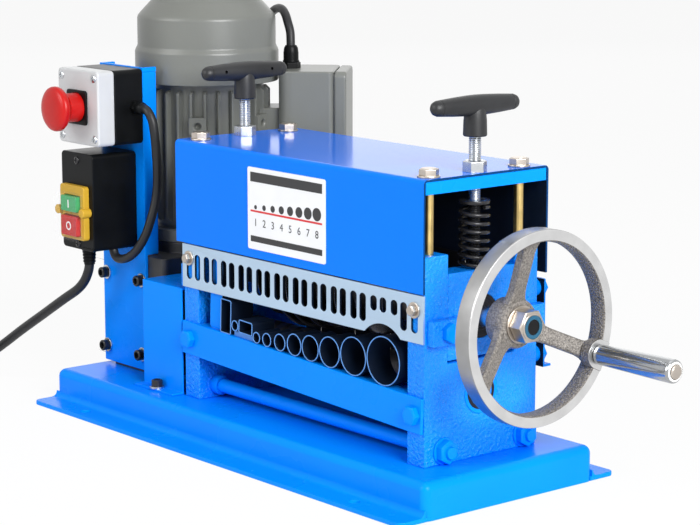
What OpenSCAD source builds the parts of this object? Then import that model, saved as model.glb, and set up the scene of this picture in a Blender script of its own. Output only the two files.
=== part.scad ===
// Bench wire stripping machine: a motor and worm reducer turn a grooved feed roller, and a shaft of
// round blades above it is set by two T-handle screws. Millimetres, +Z up, front at -Y.
// The origin is the middle of the base's underside.

/* [Base] */
// Length of the base pan
base_len = 512; // [480:1:600]
// Width of the raised pan over its walls
pan_w = 183; // [170:1:230]
// Width of each bolt-down flange
flange_w = 25; // [20:0.5:40]
// Height of the pan's top above the floor
base_h = 30; // [24:0.5:45]
// Thickness of the base sheet
base_t = 4; // [2:0.5:5]
// Outer radius of the pan's bends
bend_r = 7; // [6:0.5:10]
// Inside radius where the walls turn out into the flanges
foot_bend_r = 5; // [2:0.5:8]
// Radius of the flanges' outer corners
flange_corner_r = 6; // [2:0.5:10]
// Diameter of the bolt-down holes
foot_hole_d = 9; // [6:0.5:12]
// Spacing of the bolt-down holes along the machine
foot_pitch = 376; // [300:1:440]

/* [End plates] */
// Length over the outer faces of the two end plates
frame_len = 314; // [300:1:330]
// Gap from the right end plate to the right end of the base
frame_margin = 34; // [20:1:50]
// Thickness of the end plates
plate_t = 20; // [17:0.5:24]
// Depth of the end plates, front to back
plate_d = 120; // [116:1:126]
// Height of the end plates above the base
plate_h = 166.5; // [160:0.5:176]
// How far the shafts lie in front of the base's middle
shaft_offset = 2; // [0:0.5:6]
// Width of the slots for the bearing blocks
slot_w = 72; // [62:0.5:76]
// Height of the slots' floor above the base
slot_floor = 80; // [74:0.5:84]

/* [Shafts] */
// Height of the feed roller's axis above the base
feed_h = 52.5; // [50:0.5:56]
// Distance from the feed roller up to the blade shaft
shaft_gap = 61; // [58:0.5:64]
// Diameter of both shafts in their bearings
journal_d = 17; // [15:0.5:18]
// Outer diameter of the ball bearings
bearing_od = 35; // [32:0.5:40]
// Width of the ball bearings
bearing_w = 10; // [8:0.5:12]
// Diameter of the blade shaft between the end plates
arbor_d = 22; // [19:0.5:26]
// Diameter of the feed roller
roller_d = 30; // [26:0.5:32]
// Thickness of a blade
blade_t = 2; // [1:0.25:3]
// Outer diameter of the rings between the blades
spacer_d = 34; // [28:0.5:40]
// How far the T-handle screws lift the blade shaft
blade_lift = 8; // [3:0.5:8]

/* [Wire guide] */
// Height of the guide bar's front face
bar_h = 29; // [24:0.5:34]
// Thickness of the guide bar's sheet
bar_t = 3; // [2:0.5:4]
// Height of the middle of the bar's top edge above the base
bar_top = 62; // [58:0.5:64]
// How much lower the bar's right end is than its left end
bar_drop = 12.8; // [8:0.1:16]
// Depth of the shelf under the tubes
shelf_d = 30; // [24:0.5:32]
// Length of the guide tubes
tube_len = 24; // [18:0.5:26]
// Wall of the guide tubes
tube_wall = 1; // [0.8:0.1:1.5]
// Outer diameter of the largest guide tube
big_tube_d = 40; // [36:0.5:42]

/* [Front plate] */
// Height of the slotted front plate
front_h = 38; // [34:0.5:40]
// Thickness of the slotted front plate
front_t = 2; // [1:0.25:2]
// Height of the front plate's lower edge above the base
front_z = 98.5; // [96:0.5:100]
// Width of a slot
slit_w = 6.4; // [4:0.2:7]
// Height of a slot
slit_h = 22.5; // [18:0.5:26]

/* [Hood] */
// Depth of the hood, front to back
hood_d = 133.5; // [130:0.5:140]
// Height of the hood's top above the end plates
hood_rise = 60; // [58:0.5:70]
// Height of the hood's front panel
hood_front_h = 89; // [80:0.5:89.5]
// How far the hood runs past the left end plate
hood_overhang = 8.5; // [4:0.5:12]
// Thickness of the hood's sheet
hood_t = 2; // [1:0.25:3]
// Outer radius of the hood's bends
hood_r = 4; // [3.5:0.5:6]
// Thickness of the cross bars under the hood
cross_t = 10; // [8:0.5:12]
// Spacing of the hood bolts, front to back
stud_pitch = 96; // [94:0.5:98]
// Diameter of the hood bolts
stud_d = 8; // [6:0.5:9]

/* [Press screws] */
// Diameter of the press screws
screw_d = 10; // [8:0.5:12]
// Height of the right T-handle's bar above the hood
grip_rise = 52; // [46:0.5:60]
// How much higher the left T-handle stands
left_grip_lift = 4.5; // [0:0.5:10]
// Length of a T-handle's bar
grip_len = 90; // [70:1:100]
// Diameter of a T-handle's bar at its middle
grip_d = 16.5; // [14:0.5:20]
// Diameter of a T-handle's bar at its ends
grip_end_d = 12; // [10:0.5:14]
// Mean diameter of the springs
spring_d = 22; // [20:0.5:26]
// Wire diameter of the springs
spring_wire = 3; // [2:0.25:4]
// Length of the springs
spring_len = 50; // [44:0.5:51]

/* [Handwheel] */
// Outer diameter of the handwheel
wheel_d = 154; // [140:1:160]
// Radial width of the rim
rim_w = 9.6; // [8:0.1:14]
// Width of the rim along the shaft
rim_t = 15.6; // [12:0.2:20]
// Distance from the right end plate to the wheel's front face
wheel_reach = 67.5; // [60:0.5:80]
// Diameter of the hub
hub_d = 40; // [34:0.5:46]
// Diameter of the shaft in the hub
hub_bore = 16; // [14:0.5:16.5]
// Turn of the handle's spoke below the level, in degrees
crank_angle = 24.6; // [10:0.2:40]
// Length of the turning handle
crank_len = 79; // [60:1:90]
// Largest diameter of the turning handle
crank_d = 17.5; // [16:0.5:24]
// Diameter of the handle's spindle
spindle_d = 8; // [6:0.5:9]

/* [Drive] */
// Width of the reducer housing along the roller
reducer_w = 84; // [80:0.5:90]
// Distance from the roller's axis back to the worm
worm_gap = 45; // [44:0.5:48]
// Height of the reducer under its motor flange
reducer_h = 110; // [108:0.5:120]
// Diameter of the motor flange
flange_d = 120; // [116:1:126]
// Diameter of the motor frame without its fins
frame_d = 104; // [98:1:106]
// Height of the motor frame above its flange
frame_h = 131; // [124:1:140]
// Diameter of the fan cover
fan_cover_d = 127; // [124:1:132]
// Diameter of the motor shaft
motor_shaft_d = 14; // [11:0.5:16]

/* [Post and switches] */
// Width of the switch post
post_w = 68; // [66:0.5:74]
// Height of the switch post's top above the base
post_h = 277; // [270:1:290]
// Thickness of the post's sheet
post_t = 3; // [2:0.25:4]
// Width of the stop button's box
stop_box_w = 64; // [60:0.5:66]
// Height of the stop button's box
stop_box_h = 67; // [62:0.5:68]
// Depth of the stop button's box
stop_box_d = 48; // [44:0.5:54]
// Diameter of the stop button's head
stop_head_d = 40; // [36:0.5:44]
// Travel of the stop button
stop_travel = 5; // [3:0.5:6]
// Width of the start switch's box
switch_w = 50; // [46:0.5:54]
// Height of the start switch's box
switch_h = 88; // [84:0.5:90]
// Depth of the start switch's box
switch_d = 47.5; // [44:0.5:54]
// Travel of the start and stop keys
key_travel = 3; // [2:0.25:3.5]

/* [Mains cord] */
// Diameter of the mains cord
cord_d = 8.8; // [7:0.1:9]

/* [Fits] */
// Running clearance on the radius of a shaft
run_gap = 0.05; // [0.02:0.01:0.1]
// Clearance on the radius of a fixed fit
fit_gap = 0.02; // [0.01:0.01:0.05]
// Sliding clearance of the bearing blocks
slide_gap = 0.4; // [0.2:0.05:0.6]
// Clearance between pieces that move past each other
part_gap = 0.4; // [0.3:0.05:0.6]

/* [Hidden] */
$fn = 72;

// Paint and metal colours
blue = "dodgerblue";
steel = "silver";
zinc = "gainsboro";
black = "#1c1c1e";
grey = "#77797a";

// Places along the machine
e = 0.5;
right_x = base_len/2 - frame_margin;
left_x = right_x - frame_len;
mid_x = (left_x + right_x)/2;
inner_right = right_x - plate_t;
inner_left = left_x + plate_t;
shaft_y = -shaft_offset;
plate_front = shaft_y - plate_d/2;
plate_back = shaft_y + plate_d/2;
plate_top = base_h + plate_h;
slot_z = base_h + slot_floor;
feed_z = base_h + feed_h;
blade_z = feed_z + shaft_gap;
base_d = pan_w + 2*flange_w;
foot_y = (pan_w + flange_w)/2;

// Hex and bolt sizes of the two common threads
bolt_d = 8;
bolt_af = 14;
bolt_head = 5.5;
washer_d = 18;
washer_t = 1.6;
cap_d = 6;
cap_head_d = 10;
cap_head = 6;

// Sides of the frame: 1 is the right end plate, -1 the left one
function face_x(s, depth) = s > 0 ? right_x - depth : left_x + depth;
function plate_mid(s) = face_x(s, plate_t/2);

// Tie rods low between the end plates
tie_y = [shaft_y - 40, shaft_y + 46];
tie_z = base_h + 11;
tie_d = 12;
tie_thread = 10;
tie_nut = 8;

// Keeper plates that hold the bearing blocks in their slots
keeper_t = 8;
keeper_h = 20;
keeper_lap = 9;
keeper_z = slot_z + 17;
keeper_in = slot_w/2 - keeper_lap;
keeper_bolt_y = slot_w/2 + 6;

// Sloping guide bar and its tubes, from the smallest tube to the largest
bar_tilt = atan(bar_drop/frame_len);
bar_z = base_h + bar_top;
small_tubes = [10, 12, 15, 19, 22, 26, 32];
round_tubes = concat(small_tubes, [big_tube_d]);
tube_last = len(round_tubes) - 1;
tube_rest = 0.2;
tube_front = 1.8;
flat_w = 19;
flat_h = 11.7;
mini_d = 9.5;
stand_w = 15;
stand_h = 30;
block_w = 17;
packing_t = 4.5;
// The row from the block to the largest tube, and how it shares the room between the end plates
row_w = concat([block_w, stand_w, mini_d, flat_w], round_tubes);
row_gaps = [13.7, 2.4, 0.6, 0.6, 0.8, 3, 4, 2, 0.6, 0.6, 0.6, 0.6, 8];
function total(list, n) = n == 0 ? 0 : list[n - 1] + total(list, n - 1);
gap_scale = (inner_right - inner_left - total(row_w, len(row_w)))/total(row_gaps, len(row_gaps));
function row_x(i) = inner_left + gap_scale*total(row_gaps, i + 1) + total(row_w, i) + row_w[i]/2;
block_x = row_x(0);
stand_x = row_x(1);
mini_x = row_x(2);
flat_x = row_x(3);
function tube_x(i) = row_x(i + 4);
function bar_at(x) = bar_z - (x - mid_x)*tan(bar_tilt);
// Each channel is its place, the height of its tube and what the tube stands on
channels = concat([[stand_x, stand_h, 0], [mini_x, mini_d, packing_t], [flat_x, flat_h, packing_t]],
                  [for (i = [0:tube_last]) [tube_x(i), round_tubes[i], 0]]);
// A blade reaches down past a quarter of its tube's height
blade_reach = 0.75;
function blade_r(c) = blade_z - bar_at(c[0]) - c[2] - blade_reach*c[1];
groove_depth = 2.5;

// Front plate
front_bot = base_h + front_z;
slit_count = 25;
slit_pitch = (plate_mid(1) - plate_mid(-1))/(slit_count - 1);
slit_z = front_bot + front_h/2;
short_slits = [20, 21, 22];
short_h = 12;
pair_shift = 0.5;
function slit_x(i) = plate_mid(-1) + i*slit_pitch
    + (i == 0 || i == slit_count - 1 ? 0 : i % 2 == 0 ? pair_shift : -pair_shift);
front_bolt_z = slit_z + 7;
notch_r = big_tube_d/2 + 10;
front_bolt_d = slit_w - 0.4;

// Rear outlet plate, held off the end plates by spacers
rear_gap = 8;
rear_t = 2;
rear_y = plate_back + rear_gap;
rear_bot = base_h + 64;
rear_top = front_bot + front_h - 2;
rear_lip = 9;
rear_bolt_z = [rear_bot + 8, rear_top - 8];

// Hood, cross bars and the screws through them
hood_front = plate_front - 0.2 - hood_t;
hood_back = hood_front + hood_d;
hood_top = plate_top + hood_rise;
hood_left = left_x - hood_overhang;
hood_len = right_x - hood_left;
hood_back_h = 87;
cross_z = hood_top - hood_t - cross_t;
stud_grip = 20;
nut_af = 17;
nut_h = 9;
block_bot = slot_z + 2;
block_top = plate_top - 15.5;
spring_z = block_top + 0.3;
collar_z = spring_z + spring_len + 0.4;
collar_t = 3;
collar_d = spring_d + spring_wire;
stem_d = 19;
stem_drop = 24;

// Handwheel
wheel_x = right_x + wheel_reach;
rim_x = wheel_x - rim_t;
wheel_r = wheel_d/2;
hub_back = right_x + 22;
hub_front = rim_x - 9;
crank_r = wheel_r - rim_w;
crank_y = shaft_y + crank_r*cos(crank_angle);
crank_z = blade_z - crank_r*sin(crank_angle);
boss_x = wheel_x + 1;
crank_x = boss_x + part_gap;
nut16_af = 24;
nut16_h = 15;

// Worm reducer and motor
drive_x = left_x - 106;
drive_y = shaft_y + worm_gap;
post_front = shaft_y - 40;
post_back = post_front + post_t;
reducer_top = base_h + reducer_h;
reducer_back = drive_y + 31;
wheel_bore = 31;
gear_r = 28;
gear_teeth = 28;
worm_r = worm_gap - gear_r - part_gap;
worm_bore = worm_r + 2.4;
flange_screw_r = flange_d/2 - 8;
flange_screws = [0, 90, 180];
reducer_flange = 10;
motor_z = reducer_top + reducer_flange;
motor_flange = 12;
frame_z = motor_z + motor_flange;
frame_top = frame_z + frame_h;
fin_h = 6;
fin_count = 28;
frame_wall = 6;
cover_bot = frame_top - 3;
cover_t = 1.6;
cover_skirt_h = 30;
cover_wall_h = 63;
cover_h = 88;
cover_taper_h = 7;
cover_cone_in = 13;
cover_cone_h = 14;
cover_top_r = 44;
cover_step = cover_bot + cover_skirt_h;
cover_shoulder = cover_bot + cover_wall_h;
cover_top = cover_bot + cover_h;
rim_d = fan_cover_d + 5;
box_turn = 45;
box_w = 70;
box_h = 100;
box_z = frame_z + 43;
box_in = frame_d/2 + fin_h + 0.3;
box_body = 69;
box_round = 14;
neck_w = 40;
box_out = 121;
lid_t = 11;
lid_wall = 3;
gland_r = 78;
out_d = 20;
couple_d = 40;

// Guard over the coupling
guard_right = left_x - 4;
guard_left = drive_x + reducer_w/2 + 1;
guard_front = plate_front - 1;
guard_back = plate_back;
guard_top = feed_z + 43;
guard_t = 2;
guard_foot = 11;

// Post, boxes and switches
post_x = drive_x - 16;
post_z = base_h + 3;
post_top = base_h + post_h;
post_side = 15;
post_bolt_x = [post_x - post_w/2 + 6, post_x + post_w/2 - 6];
post_bolt_z = [feed_z - 34.5, feed_z + 34.5];
foot_t = 10;
stop_x = post_x + (post_w - stop_box_w)/2;
stop_z = post_top + 3 - stop_box_h/2;
stop_front = post_front - stop_box_d;
stop_seam = stop_front + 18;
stop_bore = 29;
sleeve_t = 1.5;
neck_d = stop_bore - 2*sleeve_t - 2*run_gap;
pin_d = 10;
pin_h = 8;
bezel_w = 31;
bezel_t = 2;
head_stand = 15;
head_len = 14;
switch_x = post_x - 3;
box_gap = 8;
switch_z = stop_z - stop_box_h/2 - box_gap - switch_h;
switch_front = post_front - switch_d;
box_wall = 2.5;
bez_w = 38.5;
bez_h = 49;
bez_t = 6;
bez_z = switch_z + 10;
key_w = 25;
start_h = 14;
stop_h = 18;
key_gap = 4;
stop_key_z = bez_z + 12.5;
start_key_z = stop_key_z + (start_h + stop_h)/2 + key_gap;
key_out = 4;
boot_t = 1;
boot_d = 10;
boot_rim = 4;

// Where the leads and the cord enter their boxes
lead_d = 8;
motor_lead_d = 8;
lead_gap = 0.3;
motor_exit = [drive_x + gland_r*cos(box_turn), drive_y + gland_r*sin(box_turn)];
motor_entry = [switch_x, switch_z + 43];
stop_exit = [post_front - 8, stop_z - 0.5];
stop_entry = [switch_x + 18, post_front - 22];
mains_exit = [switch_x - 9, post_front - 30];
relief_len = 14;
relief_lap = 3;

// Routes of the leads between the boxes, chosen by hand
stop_lead_route = [[-172, -50, 276], [-166, -50, 276], [-161, -50, 274], [-157, -49, 268], [-155, -48, 259],
                   [-155, -46, 240], [-155, -45, 216], [-156, -46, 197], [-158, -50, 179], [-162, -54, 163],
                   [-169, -58, 150], [-178, -61, 142], [-187, -63, 139], [-194, -64, 140],
                   [-198, -64, 145], [-199, -64, 152]];
motor_lead_route = [[-143, 98, 318], [-143, 98, 328], [-145, 99, 338], [-150, 100, 347], [-157, 103, 353],
                    [-167, 107, 357], [-179, 111, 357], [-192, 114, 352], [-206, 116, 340], [-221, 115, 323],
                    [-236, 111, 302], [-250, 103, 279], [-261, 90, 257], [-268, 72, 237], [-271, 50, 220],
                    [-267, 26, 206], [-256, 4, 196], [-240, -12, 191], [-226, -24, 190], [-218, -33, 190],
                    [-217, -40, 190], [-217, -46, 190]];
cord_route = [[-226, -72, 133], [-226, -72, 126], [-228, -73, 118], [-233, -75, 110], [-242, -78, 102],
              [-254, -81, 94], [-270, -83, 85], [-288, -84, 75], [-306, -86, 64], [-324, -88, 53],
              [-342, -91, 41], [-359, -94, 30], [-375, -97, 20], [-391, -99, 11.5], [-406, -100, 6],
              [-420, -100, 4.4], [-427, -100, 4.4]];
tail_route = [[-425, -220, 13.2], [-412, -220, 13.2], [-400, -219, 12.6], [-388, -218, 11.4],
              [-377, -217, 10.4],
              [-366, -216, 10], [-356, -216, 10]];
coil_x = -425;
coil_y = -160;
coil_r = [37, 65];
coil_h = 18;
plug_end = [-356, -216, 10];

// Round bars along each axis
module rod_x(d, xa, xb, y, z) {
    translate([min(xa, xb), y, z])
        rotate([0, 90, 0])
            cylinder(h = abs(xb - xa), d = d);
}
module rod_y(d, ya, yb, x, z) {
    translate([x, min(ya, yb), z])
        rotate([-90, 0, 0])
            cylinder(h = abs(yb - ya), d = d);
}
module rod_z(d, za, zb, x, y) {
    translate([x, y, min(za, zb)])
        cylinder(h = abs(zb - za), d = d);
}
// Hexagon along each axis, given over its flats
module hex_x(af, xa, xb, y, z) {
    translate([min(xa, xb), y, z])
        rotate([0, 90, 0])
            cylinder(h = abs(xb - xa), d = af/cos(30), $fn = 6);
}
module hex_y(af, ya, yb, x, z) {
    translate([x, min(ya, yb), z])
        rotate([-90, 0, 0])
            cylinder(h = abs(yb - ya), d = af/cos(30), $fn = 6);
}
module hex_z(af, za, zb, x, y) {
    translate([x, y, min(za, zb)])
        cylinder(h = abs(zb - za), d = af/cos(30), $fn = 6);
}
// Box given by two opposite corners
module span(a, b) {
    translate(a)
        cube(b - a);
}
// Box with rounded upright edges
module round_box(a, b, r) {
    translate([0, 0, a[2]])
        linear_extrude(b[2] - a[2])
            round_rect([a[0], a[1]], [b[0], b[1]], r);
}
module round_rect(a, b, r) {
    translate([a[0] + r, a[1]])
        square([b[0] - a[0] - 2*r, b[1] - a[1]]);
    translate([a[0], a[1] + r])
        square([b[0] - a[0], b[1] - a[1] - 2*r]);
    for (x = [a[0] + r, b[0] - r], y = [a[1] + r, b[1] - r])
        translate([x, y])
            circle(r);
}
// Box with edges along Y rounded, for the switch housings
module front_box(a, b, r) {
    translate([0, b[1], 0])
        rotate([90, 0, 0])
            linear_extrude(b[1] - a[1])
                round_rect([a[0], a[2]], [b[0], b[2]], r);
}
// Slot with round ends, cut through along Y
module slit(w, h, ya, yb, x, z) {
    for (s = [-1, 1])
        rod_y(w, ya, yb, x, z + s*(h - w)/2);
    span([x - w/2, ya, z - (h - w)/2], [x + w/2, yb, z + (h - w)/2]);
}
// Ring along X
module ring_x(od, id, xa, xb, y, z) {
    difference() {
        rod_x(od, xa, xb, y, z);
        rod_x(id, min(xa, xb) - e, max(xa, xb) + e, y, z);
    }
}
// Round tube swept along the points of a route
function unit(v) = v/norm(v);
function heading(p, i) = i == 0 ? unit(p[1] - p[0])
    : i == len(p) - 1 ? unit(p[i] - p[i - 1])
    : unit(unit(p[i] - p[i - 1]) + unit(p[i + 1] - p[i]));
function side_of(t) = abs(t[2]) < 0.9 ? unit(cross([0, 0, 1], t)) : unit(cross([0, 1, 0], t));
function carry(s, t) = unit(s - (s*t)*t);
function sides(p, i) = i == 0 ? [side_of(heading(p, 0))]
    : let (before = sides(p, i - 1))
      concat(before, [carry(before[i - 1], heading(p, i))]);
module swept_tube(p, d, n = 10) {
    frame_sides = sides(p, len(p) - 1);
    points = [for (i = [0:len(p) - 1], k = [0:n - 1])
              let (s = frame_sides[i], c = cross(heading(p, i), s))
              p[i] + d/2*(cos(360*k/n)*s + sin(360*k/n)*c)];
    walls = [for (i = [0:len(p) - 2], k = [0:n - 1])
             [i*n + k, (i + 1)*n + k, (i + 1)*n + (k + 1)%n, i*n + (k + 1)%n]];
    ends = [[for (k = [0:n - 1]) k], [for (k = [n - 1:-1:0]) (len(p) - 1)*n + k]];
    polyhedron(points, concat(walls, ends), convexity = 6);
}
// Places things on the sloping guide bar: X along it, Y back, Z up from its top edge
module on_bar() {
    translate([mid_x, plate_front, bar_z])
        rotate([0, bar_tilt, 0])
            children();
}
// Turns to the terminal box's direction from the motor's axis
module on_motor_side() {
    translate([drive_x, drive_y, 0])
        rotate([0, 0, box_turn])
            children();
}

// Section of the base pan with rounded top bends
module pan_section(w, h, r) {
    translate([-w/2, 0])
        square([w, h - r]);
    translate([-w/2 + r, 0])
        square([w - 2*r, h]);
    for (s = [-1, 1])
        translate([s*(w/2 - r), h - r])
            circle(r);
}
module pan_form(length, w, h, r) {
    intersection() {
        rotate([90, 0, 90])
            translate([0, 0, -length/2])
                linear_extrude(length)
                    pan_section(w, h, r);
        rotate([90, 0, 0])
            translate([0, 0, -w/2 - e])
                linear_extrude(w + 2*e)
                    pan_section(length, h, r);
    }
}
// Flange along the back wall, with the inside bend where it leaves the wall
module base_flange() {
    round_box([-base_len/2, pan_w/2 - flange_corner_r - base_t, 0], [base_len/2, base_d/2, base_t],
              flange_corner_r);
    translate([-base_len/2, pan_w/2, base_t])
        rotate([90, 0, 90])
            linear_extrude(base_len)
                difference() {
                    translate([-base_t/2, -base_t/2])
                        square(foot_bend_r + base_t/2);
                    translate([foot_bend_r, foot_bend_r])
                        circle(foot_bend_r);
                }
}
// Screws that fix the reducer through the base
reducer_bolt_x = [drive_x - reducer_w/2 + 10, drive_x + reducer_w/2 - 10];
reducer_bolt_y = [post_back + 10, reducer_back - 10];
guard_screw_x = (guard_left + guard_right)/2;
guard_screw_y = [guard_front - guard_foot/2 - 1, guard_back + guard_foot/2 + 1];
module base_pan() {
    color(blue)
        difference() {
            union() {
                pan_form(base_len, pan_w, base_h, bend_r);
                for (s = [0, 1])
                    mirror([0, s, 0])
                        base_flange();
            }
            translate([0, 0, -1])
                pan_form(base_len - 2*base_t, pan_w - 2*base_t, base_h - base_t + 1, bend_r - base_t);
            for (sx = [-1, 1], sy = [-1, 1])
                rod_z(foot_hole_d, -e, base_t + e, sx*foot_pitch/2, sy*foot_y);
            for (x = reducer_bolt_x, y = reducer_bolt_y)
                rod_z(bolt_d + 2*run_gap, base_h - base_t - e, base_h + e, x, y);
            for (y = guard_screw_y)
                rod_z(cap_d + 2*run_gap, base_h - base_t - e, base_h + e, guard_screw_x, y);
        }
}

// One end plate with its block slot and all its holes
module end_plate(s) {
    x = plate_mid(s);
    color(blue)
        difference() {
            span([x - plate_t/2, plate_front, base_h], [x + plate_t/2, plate_back, plate_top]);
            span([x - plate_t, shaft_y - slot_w/2, slot_z], [x + plate_t, shaft_y + slot_w/2,
                                                             plate_top + e]);
            rod_x(bearing_od + 2*fit_gap, face_x(s, -e), face_x(s, bearing_w), shaft_y, feed_z);
            rod_x(journal_d + 6, face_x(s, -e), face_x(s, plate_t + e), shaft_y, feed_z);
            for (y = tie_y)
                rod_x(tie_thread + 2*fit_gap, face_x(s, -e), face_x(s, plate_t + e), y, tie_z);
            for (t = [-1, 1]) {
                rod_z(stud_d + 2*fit_gap, plate_top - stud_grip, plate_top + e, x,
                      shaft_y + t*stud_pitch/2);
                rod_x(bolt_d + 2*fit_gap, face_x(s, -e), face_x(s, 12), shaft_y + t*keeper_bolt_y,
                      keeper_z + keeper_h/2);
            }
            on_bar()
                rod_y(bolt_d + 2*fit_gap, -e, 14, s*(frame_len - plate_t)/2, -bar_h/2);
            rod_y(front_bolt_d + 2*fit_gap, plate_front - e, plate_front + 12, x, front_bolt_z);
            for (z = rear_bolt_z)
                rod_y(bolt_d + 2*fit_gap, plate_back - 12, plate_back + e, x, z);
        }
}
module right_end_plate() {
    end_plate(1);
}
module left_end_plate() {
    end_plate(-1);
}

// Ball bearing between two depths from an end plate's outer face, with shallow shield grooves
module bearing(s, z, depth) {
    difference() {
        ring_x(bearing_od, journal_d + 2*run_gap, face_x(s, depth), face_x(s, depth + bearing_w),
               shaft_y, z);
        for (f = [depth - e, depth + bearing_w - 0.6])
            ring_x(bearing_od - 6, journal_d + 6, face_x(s, f), face_x(s, f + 0.6 + e), shaft_y, z);
    }
}
module lower_bearings() {
    color(steel)
        for (s = [-1, 1])
            bearing(s, feed_z, 0);
}

module tie_rods() {
    color(blue)
        for (y = tie_y) {
            rod_x(tie_d, inner_left, inner_right, y, tie_z);
            rod_x(tie_thread, left_x - tie_nut - 3, right_x + tie_nut + 3, y, tie_z);
        }
}

module front_guide_bar() {
    color(blue)
        on_bar()
            difference() {
                union() {
                    span([-frame_len/2, -bar_t, -bar_h], [frame_len/2, 0, 0]);
                    span([-frame_len/2 + plate_t + 1, -bar_t, -bar_t],
                         [frame_len/2 - plate_t - 1, shelf_d, 0]);
                }
                for (s = [-1, 1])
                    rod_y(bolt_d + 2*run_gap, -bar_t - e, e, s*(frame_len - plate_t)/2, -bar_h/2);
            }
}

// Round tube lying front to back on the bar
module guide_tube(x, d, lift) {
    z = d/2 + tube_rest + lift;
    difference() {
        rod_y(d, -tube_front, tube_len - tube_front, x - mid_x, z);
        rod_y(d - 2*tube_wall, -tube_front - e, tube_len, x - mid_x, z);
    }
}
// Rectangular tube lying front to back on the bar
module flat_tube(x, w, h, lift) {
    difference() {
        front_box([x - mid_x - w/2, -tube_front, lift], [x - mid_x + w/2, tube_len - tube_front,
                                                         lift + h], 2);
        front_box([x - mid_x - w/2 + tube_wall, -tube_front - e, lift + tube_wall],
                  [x - mid_x + w/2 - tube_wall, tube_len, lift + h - tube_wall], 1);
    }
}
module wire_guide_tubes() {
    color(blue)
        on_bar() {
            for (i = [0:tube_last])
                guide_tube(tube_x(i), round_tubes[i], 0);
            guide_tube(mini_x, mini_d, packing_t);
            flat_tube(stand_x, stand_w, stand_h, 0);
            flat_tube(flat_x, flat_w, flat_h, packing_t + tube_rest);
            span([mini_x - mini_d/2 + 1 - mid_x, 1, 0],
                 [flat_x + flat_w/2 - 1 - mid_x, tube_len - tube_front, packing_t]);
            front_box([block_x - block_w/2 - mid_x, 2, 0],
                      [block_x + block_w/2 - mid_x, tube_len, front_bot + front_h - bar_at(block_x)], 3);
        }
}

module slotted_front_plate() {
    color("#dfe3e6")
        difference() {
            span([left_x, plate_front - front_t, front_bot], [right_x, plate_front, front_bot + front_h]);
            for (i = [0:slit_count - 1])
                if (len(search(i, short_slits)) == 0)
                    slit(slit_w, slit_h, plate_front - front_t - e, plate_front + e, slit_x(i), slit_z);
            for (i = short_slits)
                slit(slit_w, short_h, plate_front - front_t - e, plate_front + e, slit_x(i),
                     slit_z + (slit_h - short_h)/2);
            rod_y(2*notch_r, plate_front - front_t - e, plate_front + e, tube_x(tube_last),
                  bar_at(tube_x(tube_last)) + big_tube_d/2);
        }
}

module rear_outlet_plate() {
    color(blue)
        difference() {
            union() {
                span([left_x, rear_y, rear_bot], [right_x, rear_y + rear_t, rear_top]);
                span([left_x, rear_y, rear_bot - rear_t], [right_x, rear_y + rear_lip, rear_bot]);
            }
            span([inner_left + 12, rear_y - e, rear_bot + 4], [inner_right - 2, rear_y + rear_lip,
                                                               rear_bot + 42]);
            for (s = [-1, 1], z = rear_bolt_z)
                rod_y(bolt_d + 2*run_gap, rear_y - e, rear_y + rear_t + e, plate_mid(s), z);
        }
}

module keeper_plates() {
    color(blue)
        for (s = [-1, 1], t = [-1, 1])
            difference() {
                span([min(face_x(s, 0), face_x(s, -keeper_t)),
                      shaft_y + min(t*keeper_in, t*(plate_d/2 + 2*t)),
                      keeper_z],
                     [max(face_x(s, 0), face_x(s, -keeper_t)),
                      shaft_y + max(t*keeper_in, t*(plate_d/2 + 2*t)),
                      keeper_z + keeper_h]);
                rod_x(bolt_d + 2*run_gap, face_x(s, e), face_x(s, -keeper_t - e), shaft_y + t*keeper_bolt_y,
                      keeper_z + keeper_h/2);
            }
}

// Painted hexagon bolts and nuts of the frame
module frame_bolts() {
    color(blue) {
        for (s = [-1, 1]) {
            for (t = [-1, 1]) {
                rod_x(bolt_d, face_x(s, 11), face_x(s, -keeper_t), shaft_y + t*keeper_bolt_y,
                      keeper_z + keeper_h/2);
                hex_x(bolt_af, face_x(s, -keeper_t), face_x(s, -keeper_t - bolt_head),
                      shaft_y + t*keeper_bolt_y, keeper_z + keeper_h/2);
            }
            on_bar() {
                rod_y(bolt_d, -bar_t, 13, s*(frame_len - plate_t)/2, -bar_h/2);
                hex_y(bolt_af, -bar_t - bolt_head, -bar_t, s*(frame_len - plate_t)/2, -bar_h/2);
            }
            for (z = rear_bolt_z) {
                rod_y(bolt_d, plate_back - 11, rear_y + rear_t, plate_mid(s), z);
                rod_y(bolt_af, plate_back, rear_y, plate_mid(s), z);
                hex_y(bolt_af, rear_y + rear_t, rear_y + rear_t + bolt_head, plate_mid(s), z);
            }
            for (y = tie_y)
                difference() {
                    hex_x(nut_af, face_x(s, 0), face_x(s, -tie_nut), y, tie_z);
                    rod_x(tie_thread + 2*fit_gap, face_x(s, e), face_x(s, -tie_nut - e), y, tie_z);
                }
        }
    }
}

// Section of the hood: front panel, top and back panel
module hood_section(w, h, r) {
    translate([0, -h])
        square([w, h - r]);
    translate([r, -h])
        square([w - 2*r, h]);
    for (x = [r, w - r])
        translate([x, -r])
            circle(r);
}
module hood() {
    color(blue)
        difference() {
            translate([hood_left, hood_front, hood_top])
                rotate([90, 0, 90])
                    linear_extrude(hood_len)
                        difference() {
                            hood_section(hood_d, hood_front_h, hood_r);
                            translate([hood_t, -hood_t])
                                hood_section(hood_d - 2*hood_t, hood_front_h, hood_r - hood_t);
                            translate([hood_d/2, -hood_front_h - e])
                                square([hood_d, hood_front_h - hood_back_h + e]);
                        }
            for (s = [-1, 1]) {
                rod_z(screw_d + 1, hood_top - hood_t - e, hood_top + e, plate_mid(s), shaft_y);
                for (t = [-1, 1])
                    rod_z(stud_d + 2*run_gap, hood_top - hood_t - e, hood_top + e, plate_mid(s),
                          shaft_y + t*stud_pitch/2);
            }
        }
}

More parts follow.
